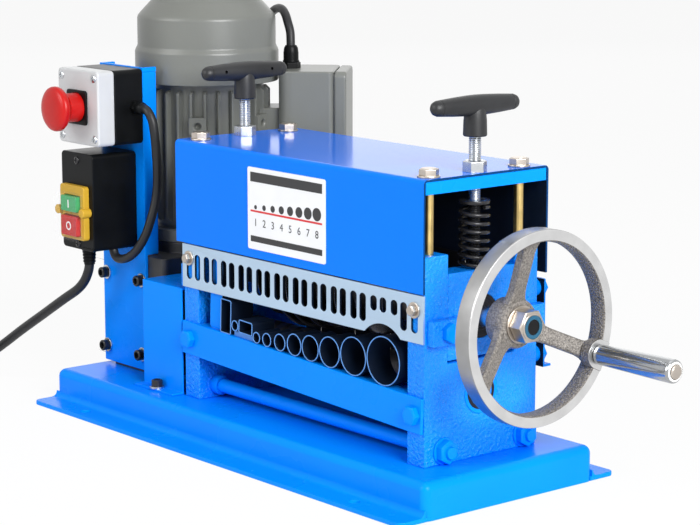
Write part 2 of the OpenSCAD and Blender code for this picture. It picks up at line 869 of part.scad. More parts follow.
module cross_bars() {
    color(blue)
        for (s = [-1, 1])
            difference() {
                span([plate_mid(s) - plate_t/2, hood_front + hood_t + 0.6, cross_z],
                     [plate_mid(s) + plate_t/2, hood_back - hood_t - 0.6, cross_z + cross_t]);
                rod_z(screw_d + 1, cross_z - e, cross_z + cross_t + e, plate_mid(s), shaft_y);
                for (t = [-1, 1])
                    rod_z(stud_d + 2*run_gap, cross_z - e, cross_z + cross_t + e, plate_mid(s),
                          shaft_y + t*stud_pitch/2);
            }
}

// Bright bolts of the hood and the front plate, with their washers
module hood_bolts() {
    color("#d8c89a")
        for (s = [-1, 1]) {
            for (t = [-1, 1]) {
                rod_z(stud_d, plate_top - stud_grip + 1, hood_top + washer_t, plate_mid(s),
                      shaft_y + t*stud_pitch/2);
                rod_z(washer_d, hood_top, hood_top + washer_t, plate_mid(s), shaft_y + t*stud_pitch/2);
                hex_z(bolt_af, hood_top + washer_t, hood_top + washer_t + bolt_head, plate_mid(s),
                      shaft_y + t*stud_pitch/2);
            }
            rod_y(front_bolt_d, plate_front - front_t - washer_t, plate_front + 11, plate_mid(s),
                  front_bolt_z);
            rod_y(bolt_af + 1, plate_front - front_t - washer_t, plate_front - front_t, plate_mid(s),
                  front_bolt_z);
            hex_y(bolt_af - 2, plate_front - front_t - washer_t - bolt_head,
                  plate_front - front_t - washer_t,
                  plate_mid(s), front_bolt_z);
        }
}

module screw_nuts() {
    color(zinc)
        for (s = [-1, 1])
            difference() {
                hex_z(nut_af, hood_top, hood_top + nut_h, plate_mid(s), shaft_y);
                rod_z(screw_d + 2*run_gap, hood_top - e, hood_top + nut_h + e, plate_mid(s), shaft_y);
            }
}

module switch_post() {
    color(blue)
        difference() {
            span([post_x - post_w/2, post_front, post_z], [post_x + post_w/2, post_front + post_side,
                                                           post_top]);
            span([post_x - post_w/2 + post_t, post_back, post_z - e],
                 [post_x + post_w/2 - post_t, post_front + post_side + e, post_top + e]);
            span([post_x - post_w/2 - e, post_back, post_z - e],
                 [post_x + post_w/2 + e, post_front + post_side + e, reducer_top + e]);
            for (x = post_bolt_x, z = post_bolt_z)
                rod_y(cap_d + 2*run_gap, post_front - e, post_back + e, x, z);
            rod_y(motor_lead_d + 4, post_front - e, post_back + e, motor_entry[0], motor_entry[1]);
        }
}

// Black socket screws: post, guard, reducer feet and motor flange
module socket_screws() {
    color(black) {
        for (x = post_bolt_x, z = post_bolt_z) {
            rod_y(cap_d, post_front - washer_t, post_back + foot_t - 1, x, z);
            rod_y(cap_head_d + 3, post_front - washer_t, post_front, x, z);
            rod_y(cap_head_d, post_front - washer_t - cap_head, post_front - washer_t, x, z);
        }
        for (y = guard_screw_y) {
            rod_z(cap_d, base_h - base_t - 3, base_h + guard_t + washer_t, guard_screw_x, y);
            rod_z(cap_head_d, base_h + guard_t, base_h + guard_t + cap_head, guard_screw_x, y);
        }
        for (x = reducer_bolt_x, y = reducer_bolt_y) {
            rod_z(bolt_d, base_h - base_t - bolt_head, base_h + 9, x, y);
            rod_z(bolt_af, base_h - base_t - bolt_head, base_h - base_t, x, y);
        }
        for (a = flange_screws)
            translate([drive_x, drive_y, 0])
                rotate([0, 0, a]) {
                    rod_z(cap_d, reducer_top, motor_z + motor_flange - 3, flange_screw_r, 0);
                    rod_z(cap_head_d, reducer_top - cap_head, reducer_top, flange_screw_r, 0);
                }
    }
}

module coupling_guard() {
    color(blue)
        difference() {
            union() {
                span([guard_left, guard_front, base_h], [guard_right, guard_back, guard_top]);
                span([guard_left, guard_front - guard_foot, base_h],
                     [guard_right, guard_back + guard_foot, base_h + guard_t]);
            }
            span([guard_left - e, guard_front + guard_t, base_h - e],
                 [guard_right + e, guard_back - guard_t, guard_top - guard_t]);
            for (y = guard_screw_y)
                rod_z(cap_d + 2*run_gap, base_h - e, base_h + guard_t + e, guard_screw_x, y);
        }
}

module reducer_housing() {
    color("#2b2c2e")
        difference() {
            union() {
                round_box([drive_x - reducer_w/2, post_back, base_h],
                          [drive_x + reducer_w/2, reducer_back, reducer_top], 6);
                span([post_bolt_x[0] - 9, post_back, feed_z - 44],
                     [drive_x, post_back + foot_t, feed_z + 44]);
                rod_z(flange_d, reducer_top, motor_z, drive_x, drive_y);
            }
            rod_x(2*wheel_bore, drive_x - reducer_w/2 - e, drive_x + reducer_w/2 + e, shaft_y, feed_z);
            rod_z(2*worm_bore, base_h + 12, motor_z + e, drive_x, drive_y);
            rod_z(motor_shaft_d + 2*run_gap, base_h + 6, motor_z, drive_x, drive_y);
            for (x = post_bolt_x, z = post_bolt_z)
                rod_y(cap_d + 2*fit_gap, post_back - e, post_back + foot_t, x, z);
            for (x = reducer_bolt_x, y = reducer_bolt_y)
                rod_z(bolt_d + 2*fit_gap, base_h - e, base_h + 10, x, y);
            for (a = flange_screws)
                translate([drive_x, drive_y, 0])
                    rotate([0, 0, a])
                        rod_z(cap_d + 2*run_gap, reducer_top - e, motor_z + e, flange_screw_r, 0);
        }
}

// Covers that close the reducer on both sides and carry its output shaft
cover_in = 7;
module reducer_covers() {
    color("#3a3b3d")
        for (s = [-1, 1])
            ring_x(2*(wheel_bore - fit_gap), out_d + 2*run_gap, drive_x + s*reducer_w/2,
                   drive_x + s*(reducer_w/2 - cover_in), shaft_y, feed_z);
}

module motor_frame() {
    color(grey)
        difference() {
            union() {
                rod_z(flange_d, motor_z, frame_z, drive_x, drive_y);
                rod_z(frame_d, motor_z, frame_top, drive_x, drive_y);
                rod_z(rim_d - 2*cover_t - 2*fit_gap, frame_top - 6, frame_top + 4, drive_x, drive_y);
                translate([drive_x, drive_y, 0])
                    for (i = [0:fin_count - 1])
                        rotate([0, 0, i*360/fin_count])
                            span([frame_d/2 - 2, -1.2, frame_z + 6],
                                 [frame_d/2 + fin_h, 1.2, frame_top - 5]);
                translate([drive_x, drive_y, 0])
                    for (a = [box_turn + 90:90:box_turn + 270])
                        rotate([0, 0, a])
                            span([frame_d/2 - 2, -8, box_z + 44], [frame_d/2 + fin_h + 3, 8, box_z + 60]);
            }
            rod_z(frame_d - 2*frame_wall, frame_z, frame_top - 6, drive_x, drive_y);
            rod_z(motor_shaft_d + 2*run_gap, motor_z - e, frame_top + 4 + e, drive_x, drive_y);
            for (a = flange_screws)
                translate([drive_x, drive_y, 0])
                    rotate([0, 0, a])
                        rod_z(cap_d + 2*fit_gap, motor_z - e, motor_z + motor_flange - 2,
                              flange_screw_r, 0);
        }
}
stator_gap = 0.6;
rotor_d = 52;
module motor_stator() {
    color("#b87333")
        difference() {
            rod_z(frame_d - 2*frame_wall - 2*fit_gap, frame_z + 22, frame_top - 28, drive_x, drive_y);
            rod_z(rotor_d + 2*stator_gap, frame_z + 20, frame_top - 26, drive_x, drive_y);
        }
}
module fan_cover() {
    color(grey)
        difference() {
            translate([drive_x, drive_y, 0])
                rotate_extrude()
                    difference() {
                        cover_profile(0);
                        cover_profile(cover_t);
                    }
            for (r = [12, 22, 32], a = [0:30:330])
                translate([drive_x, drive_y, 0])
                    rotate([0, 0, a + r])
                        rod_z(4.5, cover_top - 4, cover_top + e, r, 0);
        }
}
module cover_profile(t) {
    polygon([[0, cover_bot - t], [rim_d/2 - t, cover_bot - t], [rim_d/2 - t, cover_step - t],
             [fan_cover_d/2 - t, cover_step + cover_taper_h - t], [fan_cover_d/2 - t, cover_shoulder - t/2],
             [fan_cover_d/2 - cover_cone_in - t, cover_shoulder + cover_cone_h - t/2],
             [cover_top_r - t, cover_top - t], [0, cover_top - t]]);
}

module terminal_box() {
    color(grey)
        difference() {
            on_motor_side() {
                round_box([box_body, -box_w/2, box_z], [box_out, box_w/2, box_z + box_h], box_round);
                span([0, -neck_w/2, box_z + 10], [box_body + lid_wall, neck_w/2, box_z + box_h - 35]);
            }
            rod_z(2*box_in, box_z - e, box_z + box_h + e, drive_x, drive_y);
            on_motor_side()
                round_box([box_body + lid_wall, -box_w/2 + lid_wall, box_z + lid_wall],
                          [box_out + box_round, box_w/2 - lid_wall, box_z + box_h - lid_wall],
                          box_round - lid_wall);
            on_motor_side()
                rod_z(motor_lead_d + 4, box_z + box_h - lid_wall - e, box_z + box_h + e, gland_r, 0);
        }
}
module terminal_box_lid() {
    color(grey)
        on_motor_side()
            difference() {
                span([box_out, -box_w/2, box_z], [box_out + lid_t, box_w/2, box_z + box_h]);
                span([box_out - e, -box_w/2 + lid_wall, box_z + lid_wall],
                     [box_out + lid_t - lid_wall, box_w/2 - lid_wall, box_z + box_h - lid_wall]);
            }
}

// Screwed glands of the two leads
lead_gland_d = 13;
lead_gland_len = 13;
motor_gland_d = 18;
motor_gland_len = 21;
module cable_glands() {
    gland_z = box_z + box_h;
    gland_x = stop_x + stop_box_w/2;
    color(black) {
        difference() {
            union() {
                rod_z(motor_gland_d, gland_z, gland_z + 7, motor_exit[0], motor_exit[1]);
                rod_z(motor_gland_d - 4, gland_z + 6, gland_z + motor_gland_len, motor_exit[0],
                      motor_exit[1]);
            }
            rod_z(motor_lead_d + 2*lead_gap, gland_z - e, gland_z + motor_gland_len + e, motor_exit[0],
                  motor_exit[1]);
        }
        difference() {
            rod_x(lead_gland_d, gland_x, gland_x + lead_gland_len, stop_exit[0], stop_exit[1]);
            rod_x(lead_d + 2*lead_gap, gland_x - e, gland_x + lead_gland_len + e, stop_exit[0],
                  stop_exit[1]);
        }
    }
}
module control_leads() {
    color(black) {
        swept_tube(motor_lead_route, motor_lead_d, 10);
        swept_tube(stop_lead_route, lead_d, 10);
    }
}

module stop_box_base() {
    color(black)
        difference() {
            front_box([stop_x - stop_box_w/2, stop_seam, stop_z - stop_box_h/2],
                      [stop_x + stop_box_w/2, post_front, stop_z + stop_box_h/2], 4);
            front_box([stop_x - stop_box_w/2 + box_wall, stop_seam - e, stop_z - stop_box_h/2 + box_wall],
                      [stop_x + stop_box_w/2 - box_wall, post_front - box_wall,
                       stop_z + stop_box_h/2 - box_wall], 2);
            rod_x(lead_gland_d - 4, stop_x, stop_x + stop_box_w, stop_exit[0], stop_exit[1]);
        }
}
module stop_box_cover() {
    color("#eceff0")
        difference() {
            front_box([stop_x - stop_box_w/2, stop_front, stop_z - stop_box_h/2],
                      [stop_x + stop_box_w/2, stop_seam, stop_z + stop_box_h/2], 4);
            front_box([stop_x - stop_box_w/2 + box_wall, stop_front + box_wall,
                       stop_z - stop_box_h/2 + box_wall],
                      [stop_x + stop_box_w/2 - box_wall, stop_seam + e,
                       stop_z + stop_box_h/2 - box_wall], 2);
            rod_y(stop_bore + 1, stop_front - e, stop_front + box_wall + e, stop_x, stop_z);
        }
}
// Square collar with the sleeve that guides the stop button
module stop_bezel() {
    color(black)
        difference() {
            union() {
                front_box([stop_x - bezel_w/2, stop_front - bezel_t, stop_z - bezel_w/2],
                          [stop_x + bezel_w/2, stop_front, stop_z + bezel_w/2], 3);
                rod_y(stop_bore, stop_front - bezel_t, stop_front + 24, stop_x, stop_z);
            }
            rod_y(stop_bore - 2*sleeve_t, stop_front - bezel_t - e, stop_front + 24 + e, stop_x, stop_z);
        }
}
module stop_plunger() {
    color("#b01818")
        union() {
            rod_y(neck_d, stop_front - head_stand, stop_front + 14, stop_x, stop_z);
            rod_y(pin_d, stop_front - head_stand - pin_h, stop_front - head_stand + e, stop_x, stop_z);
        }
}
// Mushroom head that twists on its plunger to release
module stop_head() {
    color("#d01c1c")
        translate([stop_x, stop_front - head_stand - part_gap, stop_z])
            rotate([90, 0, 0])
                difference() {
                    rotate_extrude()
                        polygon([[0, 0], [neck_d/2, 0], [stop_head_d/2 - 2, 4.5], [stop_head_d/2, 6.5],
                                 [stop_head_d/2, head_len - 4.5], [stop_head_d/2 - 2, head_len - 2],
                                 [stop_head_d/2 - 7, head_len - 0.5], [stop_head_d/2 - 12, head_len],
                                 [0, head_len]]);
                    translate([0, 0, -e])
                        cylinder(h = pin_h + part_gap + e, d = pin_d + 2*run_gap);
                }
}

module switch_box() {
    color(black)
        difference() {
            front_box([switch_x - switch_w/2, switch_front, switch_z],
                      [switch_x + switch_w/2, post_front, switch_z + switch_h], 4);
            front_box([switch_x - switch_w/2 + box_wall, switch_front + box_wall, switch_z + box_wall],
                      [switch_x + switch_w/2 - box_wall, post_front - box_wall,
                       switch_z + switch_h - box_wall], 2);
            span([switch_x - bez_w/2 + 3, switch_front - e, bez_z + 3],
                 [switch_x + bez_w/2 - 3, switch_front + box_wall + e, bez_z + bez_h - 3]);
            rod_y(motor_lead_d + 2*lead_gap, post_front - box_wall - e, post_front + e, motor_entry[0],
                  motor_entry[1]);
            rod_z(lead_d + 4*lead_gap, switch_z - e, switch_z + box_wall + e, stop_entry[0], stop_entry[1]);
            rod_z(cord_d + 2*lead_gap, switch_z - e, switch_z + box_wall + e, mains_exit[0], mains_exit[1]);
        }
}
// Frame of one key well in the yellow switch
module key_well(h, z, ya, yb, room) {
    span([switch_x - key_w/2 - room, ya, z - h/2 - room], [switch_x + key_w/2 + room, yb, z + h/2 + room]);
}
module switch_bezel() {
    color("#f2c81e")
        difference() {
            union() {
                front_box([switch_x - bez_w/2, switch_front - bez_t, bez_z],
                          [switch_x + bez_w/2, switch_front, bez_z + bez_h], 3);
                span([switch_x - bez_w/2 + 3.4, switch_front - e, bez_z + 3.4],
                     [switch_x + bez_w/2 - 3.4, switch_front + 16, bez_z + bez_h - 3.4]);
            }
            key_well(start_h, start_key_z, switch_front - bez_t - e, switch_front + 13, part_gap);
            key_well(stop_h, stop_key_z, switch_front - bez_t - e, switch_front + 13, part_gap);
        }
}
module switch_boot() {
    color([0.9, 0.92, 0.95, 0.4])
        difference() {
            front_box([switch_x - key_w/2 - boot_rim, switch_front - bez_t - boot_d,
                       stop_key_z - stop_h/2 - 3],
                      [switch_x + key_w/2 + boot_rim, switch_front - bez_t,
                       start_key_z + start_h/2 + 3], 3);
            front_box([switch_x - key_w/2 - boot_rim + boot_t, switch_front - bez_t - boot_d + boot_t,
                       stop_key_z - stop_h/2 - 3 + boot_t],
                      [switch_x + key_w/2 + boot_rim - boot_t, switch_front - bez_t + e,
                       start_key_z + start_h/2 + 3 - boot_t], 2);
        }
}
// Rocking keys: a face plate on a shank that runs in its well
module key_piece(h, z) {
    front_box([switch_x - key_w/2, switch_front - bez_t - key_out, z - h/2],
              [switch_x + key_w/2, switch_front + 13 - key_travel - part_gap, z + h/2], 1.5);
}
module start_key() {
    color("#35b45a")
        key_piece(start_h, start_key_z);
}
module stop_key() {
    color("#d23b32")
        key_piece(stop_h, stop_key_z);
}

// Mains cord with its strain relief, the coil it is wound into and its plug
module mains_gland() {
    color(black)
        difference() {
            union() {
                rod_z(cord_d + 5, switch_z - 4, switch_z, mains_exit[0], mains_exit[1]);
                translate([mains_exit[0], mains_exit[1], switch_z - relief_len - relief_lap])
                    cylinder(h = relief_len + relief_lap - 3, d1 = cord_d + 2, d2 = cord_d + 4);
            }
            rod_z(cord_d + 2*fit_gap, switch_z - relief_len - relief_lap - e, switch_z - relief_len,
                  mains_exit[0], mains_exit[1]);
        }
}
module mains_cord() {
    color(black) {
        swept_tube(cord_route, cord_d, 10);
        swept_tube(tail_route, cord_d, 10);
    }
}
module cord_coil() {
    color(black)
        translate([coil_x, coil_y, 0])
            rotate_extrude()
                round_rect([coil_r[0], 0], [coil_r[1], coil_h], 5);
}
plug_neck = 15;
plug_len = 26;
plug_w = 27;
plug_t = 20;
pin_len = 18;
pin_gap = 12.7;
pin_w = 6.3;
pin_t = 1.5;
module mains_plug() {
    color(black)
        translate(plug_end)
            union() {
                rotate([0, 90, 0])
                    cylinder(h = plug_neck + 1, d1 = cord_d + 2, d2 = cord_d + 6);
                round_box([plug_neck, -plug_w/2, -plug_t/2], [plug_neck + plug_len, plug_w/2, plug_t/2], 5);
                for (s = [-1, 1])
                    span([plug_neck + plug_len - 1, s*pin_gap/2 - pin_t/2, -pin_w/2],
                         [plug_neck + plug_len + pin_len, s*pin_gap/2 + pin_t/2, pin_w/2]);
            }
}

// Blocks that slide in the end plates and carry the blade shaft, each with a cheek on the plate's inner face
cheek_t = 5;
cheek_lap = 6;
module block_slab(xa, xb, half_w, za, zb) {
    span([min(xa, xb), shaft_y - half_w, za], [max(xa, xb), shaft_y + half_w, zb]);
}
module bearing_blocks() {
    color(blue)
        for (s = [-1, 1])
            difference() {
                union() {
                    block_slab(face_x(s, part_gap), face_x(s, plate_t + e), slot_w/2 - slide_gap,
                               block_bot, block_top);
                    block_slab(face_x(s, plate_t + part_gap), face_x(s, plate_t + cheek_t),
                               slot_w/2 + cheek_lap,
                               block_bot + 5, block_top - 10);
                }
                rod_x(bearing_od + 2*fit_gap, face_x(s, 0), face_x(s, part_gap + bearing_w), shaft_y,
                      blade_z);
                rod_x(journal_d + 6, face_x(s, -e), face_x(s, plate_t + 6), shaft_y, blade_z);
            }
}
module upper_bearings() {
    color(steel)
        for (s = [-1, 1])
            bearing(s, blade_z, part_gap);
}
// Stack of coils that stands for each helical spring
spring_turns = 6;
module press_springs() {
    color("#3b3d40")
        for (s = [-1, 1])
            translate([plate_mid(s), shaft_y, spring_z])
                difference() {
                    cylinder(h = spring_len, d = spring_d + spring_wire);
                    translate([0, 0, -e])
                        cylinder(h = spring_len + 2*e, d = spring_d - spring_wire);
                    for (i = [0:spring_turns - 2])
                        translate([0, 0, spring_wire + i*(spring_len - spring_wire)/(spring_turns - 1)])
                            spring_space((spring_len - spring_wire)/(spring_turns - 1) - spring_wire);
                }
}
// Gap between two coils, left open all round but for a short bridge
module spring_space(h) {
    difference() {
        cylinder(h = h, d = spring_d + spring_wire + 2);
        span([-spring_wire/2, 0, -e], [spring_wire/2, spring_d, h + e]);
    }
}

// Blade shaft with its blades and spacers
module blade_shaft() {
    color(steel)
        union() {
            rod_x(arbor_d, inner_left + 6, inner_right - 6, shaft_y, blade_z);
            rod_x(journal_d, left_x - 2, hub_back - 1, shaft_y, blade_z);
            rod_x(hub_bore, hub_back - 2, hub_front + nut16_h - 3, shaft_y, blade_z);
        }
}
module cutting_blades() {
    color("#c9ccd0")
        for (c = channels)
            translate([c[0], shaft_y, blade_z])
                rotate([0, 90, 0])
                    rotate_extrude()
                        polygon([[arbor_d/2 + fit_gap, -blade_t/2], [blade_r(c) - 3, -blade_t/2],
                                 [blade_r(c), -0.1],
                                 [blade_r(c), 0.1], [blade_r(c) - 3, blade_t/2],
                                 [arbor_d/2 + fit_gap, blade_t/2]]);
}
spacer_ends = concat([inner_left + 6], [for (c = channels) c[0]], [inner_right - 6]);
module blade_spacers() {
    color("#6c7076")
        for (i = [0:len(spacer_ends) - 2])
            ring_x(spacer_d, arbor_d + 2*fit_gap, spacer_ends[i] + blade_t/2,
                   spacer_ends[i + 1] - blade_t/2,
                   shaft_y, blade_z);
}

// Cast handwheel, dished, with three spokes from the hub out to the middle of the rim
spoke_w = 11;
spoke_t = 10;
spoke_in = hub_d/2 - 3;
spoke_out = wheel_r - rim_w/2;
spoke_rim_x = rim_x + rim_t/2 + spoke_t/2;
boss_d = 24;
module handwheel() {
    color("#b9babb")
        difference() {
            union() {
                ring_x(wheel_d, wheel_d - 2*rim_w, rim_x, wheel_x, shaft_y, blade_z);
                rod_x(hub_d, hub_back, hub_front, shaft_y, blade_z);
                for (a = [0:120:240])
                    translate([0, shaft_y, blade_z])
                        rotate([a - crank_angle, 0, 0])
                            rotate([0, 0, 90])
                                translate([0, 0, -spoke_w/2])
                                    linear_extrude(spoke_w)
                                        polygon([[spoke_in, 1 - hub_front], [spoke_out, -spoke_rim_x],
                                                 [spoke_out, spoke_t - spoke_rim_x],
                                                 [spoke_in, spoke_t + 1 - hub_front]]);
                intersection() {
                    rod_x(boss_d, rim_x, boss_x, crank_y, crank_z);
                    rod_x(wheel_d, rim_x, boss_x, shaft_y, blade_z);
                }
            }
            rod_x(hub_bore + 2*fit_gap, hub_back - e, hub_front + e, shaft_y, blade_z);
            rod_x(spindle_d + 2*fit_gap, rim_x - e, boss_x + e, crank_y, crank_z);
        }
}
module wheel_nut() {
    color(zinc)
        difference() {
            union() {
                rod_x(hub_bore + 14, hub_front, hub_front + 2, shaft_y, blade_z);
                hex_x(nut16_af, hub_front + 2, hub_front + nut16_h - 3, shaft_y, blade_z);
                rod_x(nut16_af - 2, hub_front + nut16_h - 3, hub_front + nut16_h, shaft_y, blade_z);
            }
            rod_x(hub_bore + 2*fit_gap, hub_front - e, hub_front + nut16_h + e, shaft_y, blade_z);
        }
}
module crank_spindle() {
    color(zinc)
        union() {
            rod_x(spindle_d, rim_x, crank_x + crank_len + part_gap, crank_y, crank_z);
            rod_x(spindle_d + 4, crank_x + crank_len + part_gap, crank_x + crank_len + part_gap + 2,
                  crank_y, crank_z);
        }
}
module crank_handle() {
    color("#d4d6d8")
        translate([crank_x, crank_y, crank_z])
            rotate([0, 90, 0])
                rotate_extrude()
                    polygon([[spindle_d/2 + run_gap, 0], [crank_d/2 - 2, 0], [crank_d/2 - 1.2, 1],
                             [crank_d/2 - 1.1, 6], [crank_d/2 - 0.7, 26], [crank_d/2 - 0.2, 50],
                             [crank_d/2, crank_len - 8], [crank_d/2 - 0.2, crank_len - 2],
                             [crank_d/2 - 1.2, crank_len], [spindle_d/2 + run_gap, crank_len]]);
}

// Press screw with the collar that bears on its spring, and its T-handle
module press_screw(s, lift) {
    color(zinc)
        union() {
            rod_z(screw_d, block_top + 0.3, hood_top + grip_rise + lift, plate_mid(s), shaft_y);
            rod_z(collar_d, collar_z, collar_z + collar_t, plate_mid(s), shaft_y);
        }
}
module t_handle(s, lift) {
    z = hood_top + grip_rise + lift;
    color(black)
        difference() {
            union() {
                rod_z(stem_d, z - stem_drop, z - 4, plate_mid(s), shaft_y);
                for (t = [-1, 1])
                    translate([plate_mid(s), shaft_y, z])
                        rotate([-90*t, 0, 0])
                            cylinder(h = (grip_len - grip_end_d)/2, d1 = grip_d, d2 = grip_end_d);
                for (t = [-1, 1])
                    translate([plate_mid(s), shaft_y + t*(grip_len - grip_end_d)/2, z])
                        sphere(d = grip_end_d);
            }
            rod_z(screw_d + 2*fit_gap, z - stem_drop - e, z + e, plate_mid(s), shaft_y);
        }
}
module right_press_screw() {
    press_screw(1, 0);
}
module left_press_screw() {
    press_screw(-1, left_grip_lift);
}
module right_t_handle() {
    t_handle(1, 0);
}
module left_t_handle() {
    t_handle(-1, left_grip_lift);
}

// Feed roller with a groove under each blade, its coupling and the worm wheel that turns it
module feed_roller() {
    color(steel)
        difference() {
            union() {
                rod_x(roller_d, inner_left + 1.5, inner_right - 1.5, shaft_y, feed_z);
                rod_x(journal_d, left_x - 24, right_x + 1, shaft_y, feed_z);
            }
            for (c = channels)
                translate([c[0], shaft_y, feed_z])
                    rotate([0, 90, 0])
                        rotate_extrude()
                            polygon([[roller_d/2 - groove_depth, 0], [roller_d/2 + 1, -groove_depth - 1],
                                     [roller_d/2 + 1, groove_depth + 1]]);
        }
}
module drive_coupling() {
    color("#5d6166")
        difference() {
            rod_x(couple_d, left_x - 46, left_x - 8, shaft_y, feed_z);
            rod_x(journal_d + 2*fit_gap, left_x - 26, left_x - 7, shaft_y, feed_z);
            rod_x(out_d + 2*fit_gap, left_x - 47, left_x - 26, shaft_y, feed_z);
        }
}
module worm_wheel() {
    color("#b08d3c")
        union() {
            rod_x(out_d, drive_x - reducer_w/2, left_x - 27, shaft_y, feed_z);
            difference() {
                rod_x(2*gear_r, drive_x - 14, drive_x + 14, shaft_y, feed_z);
                for (i = [0:gear_teeth - 1])
                    translate([0, shaft_y, feed_z])
                        rotate([i*360/gear_teeth, 0, 0])
                            span([drive_x - 15, -1.5, gear_r - 3], [drive_x + 15, 1.5, gear_r + 2]);
            }
        }
}

// Rotor with its shaft and the worm's barrel, and the fan on top
module motor_rotor() {
    color("#9da1a6")
        union() {
            rod_z(motor_shaft_d, base_h + 7, frame_top + 22, drive_x, drive_y);
            rod_z(2*worm_r, feed_z - 22, feed_z + 22, drive_x, drive_y);
            rod_z(rotor_d, frame_z + 26, frame_top - 32, drive_x, drive_y);
        }
}
fan_d = 104;
module cooling_fan() {
    color("#26282a")
        translate([drive_x, drive_y, frame_top + 8])
            difference() {
                union() {
                    cylinder(h = 13, d = 26);
                    cylinder(h = 2, d = fan_d);
                    for (a = [0:45:315])
                        rotate([0, 0, a])
                            span([10, -1, 0], [fan_d/2 - 2, 1, 13]);
                }
                translate([0, 0, -e])
                    cylinder(h = 13 + 2*e, d = motor_shaft_d + 2*fit_gap);
            }
}

base_pan();
right_end_plate();
left_end_plate();
lower_bearings();
tie_rods();
front_guide_bar();
wire_guide_tubes();
slotted_front_plate();
rear_outlet_plate();
keeper_plates();
frame_bolts();
hood();
cross_bars();
hood_bolts();
screw_nuts();
switch_post();
socket_screws();
coupling_guard();
reducer_housing();
reducer_covers();
motor_frame();
motor_stator();
fan_cover();
terminal_box();
terminal_box_lid();
cable_glands();
control_leads();
stop_box_base();
stop_box_cover();
stop_bezel();
switch_box();
switch_bezel();
switch_boot();
mains_gland();
mains_cord();
cord_coil();
mains_plug();
bearing_blocks();
upper_bearings();
press_springs();
blade_shaft();
cutting_blades();
blade_spacers();
handwheel();
wheel_nut();
crank_spindle();
crank_handle();
right_press_screw();
right_t_handle();
left_press_screw();
left_t_handle();
feed_roller();
drive_coupling();
worm_wheel();
motor_rotor();
cooling_fan();
stop_plunger();
stop_head();
start_key();
stop_key();
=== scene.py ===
import bmesh
import bpy
import math
from mathutils import Matrix, Vector


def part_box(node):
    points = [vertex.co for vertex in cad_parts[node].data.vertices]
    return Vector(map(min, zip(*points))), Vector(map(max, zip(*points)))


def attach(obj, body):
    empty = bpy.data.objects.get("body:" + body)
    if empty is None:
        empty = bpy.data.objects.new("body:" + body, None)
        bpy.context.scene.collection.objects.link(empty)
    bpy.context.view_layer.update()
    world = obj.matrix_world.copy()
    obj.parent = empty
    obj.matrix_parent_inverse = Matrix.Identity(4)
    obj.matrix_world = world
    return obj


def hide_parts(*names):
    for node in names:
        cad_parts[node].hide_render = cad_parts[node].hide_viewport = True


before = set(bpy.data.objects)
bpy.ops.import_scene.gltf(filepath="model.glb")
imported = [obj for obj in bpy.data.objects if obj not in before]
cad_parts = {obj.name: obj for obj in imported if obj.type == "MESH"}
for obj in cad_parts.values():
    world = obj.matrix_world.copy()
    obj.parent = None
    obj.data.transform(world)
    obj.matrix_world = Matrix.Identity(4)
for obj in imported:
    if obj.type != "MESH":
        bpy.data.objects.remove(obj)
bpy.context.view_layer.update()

# Studio: a pale floor that keeps the machine's shadow, a white surround and soft lamps. The camera
# stands off the handwheel end, a little above the hood, where the whole front can be seen.
MM = 0.001
scene = bpy.context.scene
scene.view_settings.view_transform = "Standard"


def placed(name, data):
    """A new object for a camera, lamp, mesh or text, put into the scene."""
    obj = bpy.data.objects.new(name, data)
    scene.collection.objects.link(obj)
    return obj


view_azimuth = math.radians(50.01)
view_elevation = math.radians(10.37)
view_back = Vector((math.sin(view_azimuth) * math.cos(view_elevation),
                    -math.cos(view_azimuth) * math.cos(view_elevation), math.sin(view_elevation)))
camera_data = bpy.data.cameras.new("photo_camera")
camera_data.lens = 117.6
camera_data.sensor_width = 36
camera_data.clip_end = 60
camera = placed("photo_camera", camera_data)
camera.location = Vector((1501.5, -1210.4, 507.4)) * MM
camera.rotation_euler = (-view_back).to_track_quat("-Z", "Y").to_euler()
scene.camera = camera


def add_lamp(name, place, target_z, size, watts):
    """A square softbox at a place in metres, turned to a height over the machine's middle."""
    data = bpy.data.lights.new(name, "AREA")
    data.size = size
    data.energy = watts
    lamp = placed(name, data)
    lamp.location = place
    lamp.rotation_euler = (Vector((0, 0, target_z)) - Vector(place)).to_track_quat("-Z", "Y").to_euler()


add_lamp("key_softbox", (2.4, -0.5, 1.3), 0.12, 1.4, 100)
add_lamp("front_softbox", (-0.6, -2.5, 1.5), 0.15, 1.6, 42)
add_lamp("top_softbox", (-0.2, 0.6, 2.4), 0.1, 1.8, 8)
add_lamp("back_softbox", (-2.7, 2.3, 1.5), 0.25, 2.2, 10)


def feed(node, values):
    """Gives a node's inputs, by name or number, their values or links from other nodes' outputs."""
    for name, value in values.items():
        if isinstance(value, bpy.types.NodeSocket):
            node.id_data.links.new(value, node.inputs[name])
        else:
            node.inputs[name].default_value = value
    return node


def add_node(tree, kind, values):
    """A new node with its inputs fed."""
    return feed(tree.nodes.new(kind), values)


def calc(tree, operation, one, two):
    """Output of a maths node on two values or outputs."""
    made = add_node(tree, "ShaderNodeMath", {0: one, 1: two})
    made.operation = operation
    return made.outputs[0]


def mix_seen(tree, lighting, shown, share, end):
    """A shader of their own for rays that show the surround, from the camera, in metal or through glass."""
    rays = tree.nodes.new("ShaderNodeLightPath").outputs
    seen = rays["Is Camera Ray"]
    for kind in ("Is Glossy Ray", "Is Transmission Ray"):
        seen = calc(tree, "MAXIMUM", seen, rays[kind])
    part = calc(tree, "MULTIPLY", seen, share)
    mixed = add_node(tree, "ShaderNodeMixShader", {0: part, 1: lighting.outputs[0], 2: shown.outputs[0]})
    feed(tree.nodes[end], {"Surface": mixed.outputs[0]})


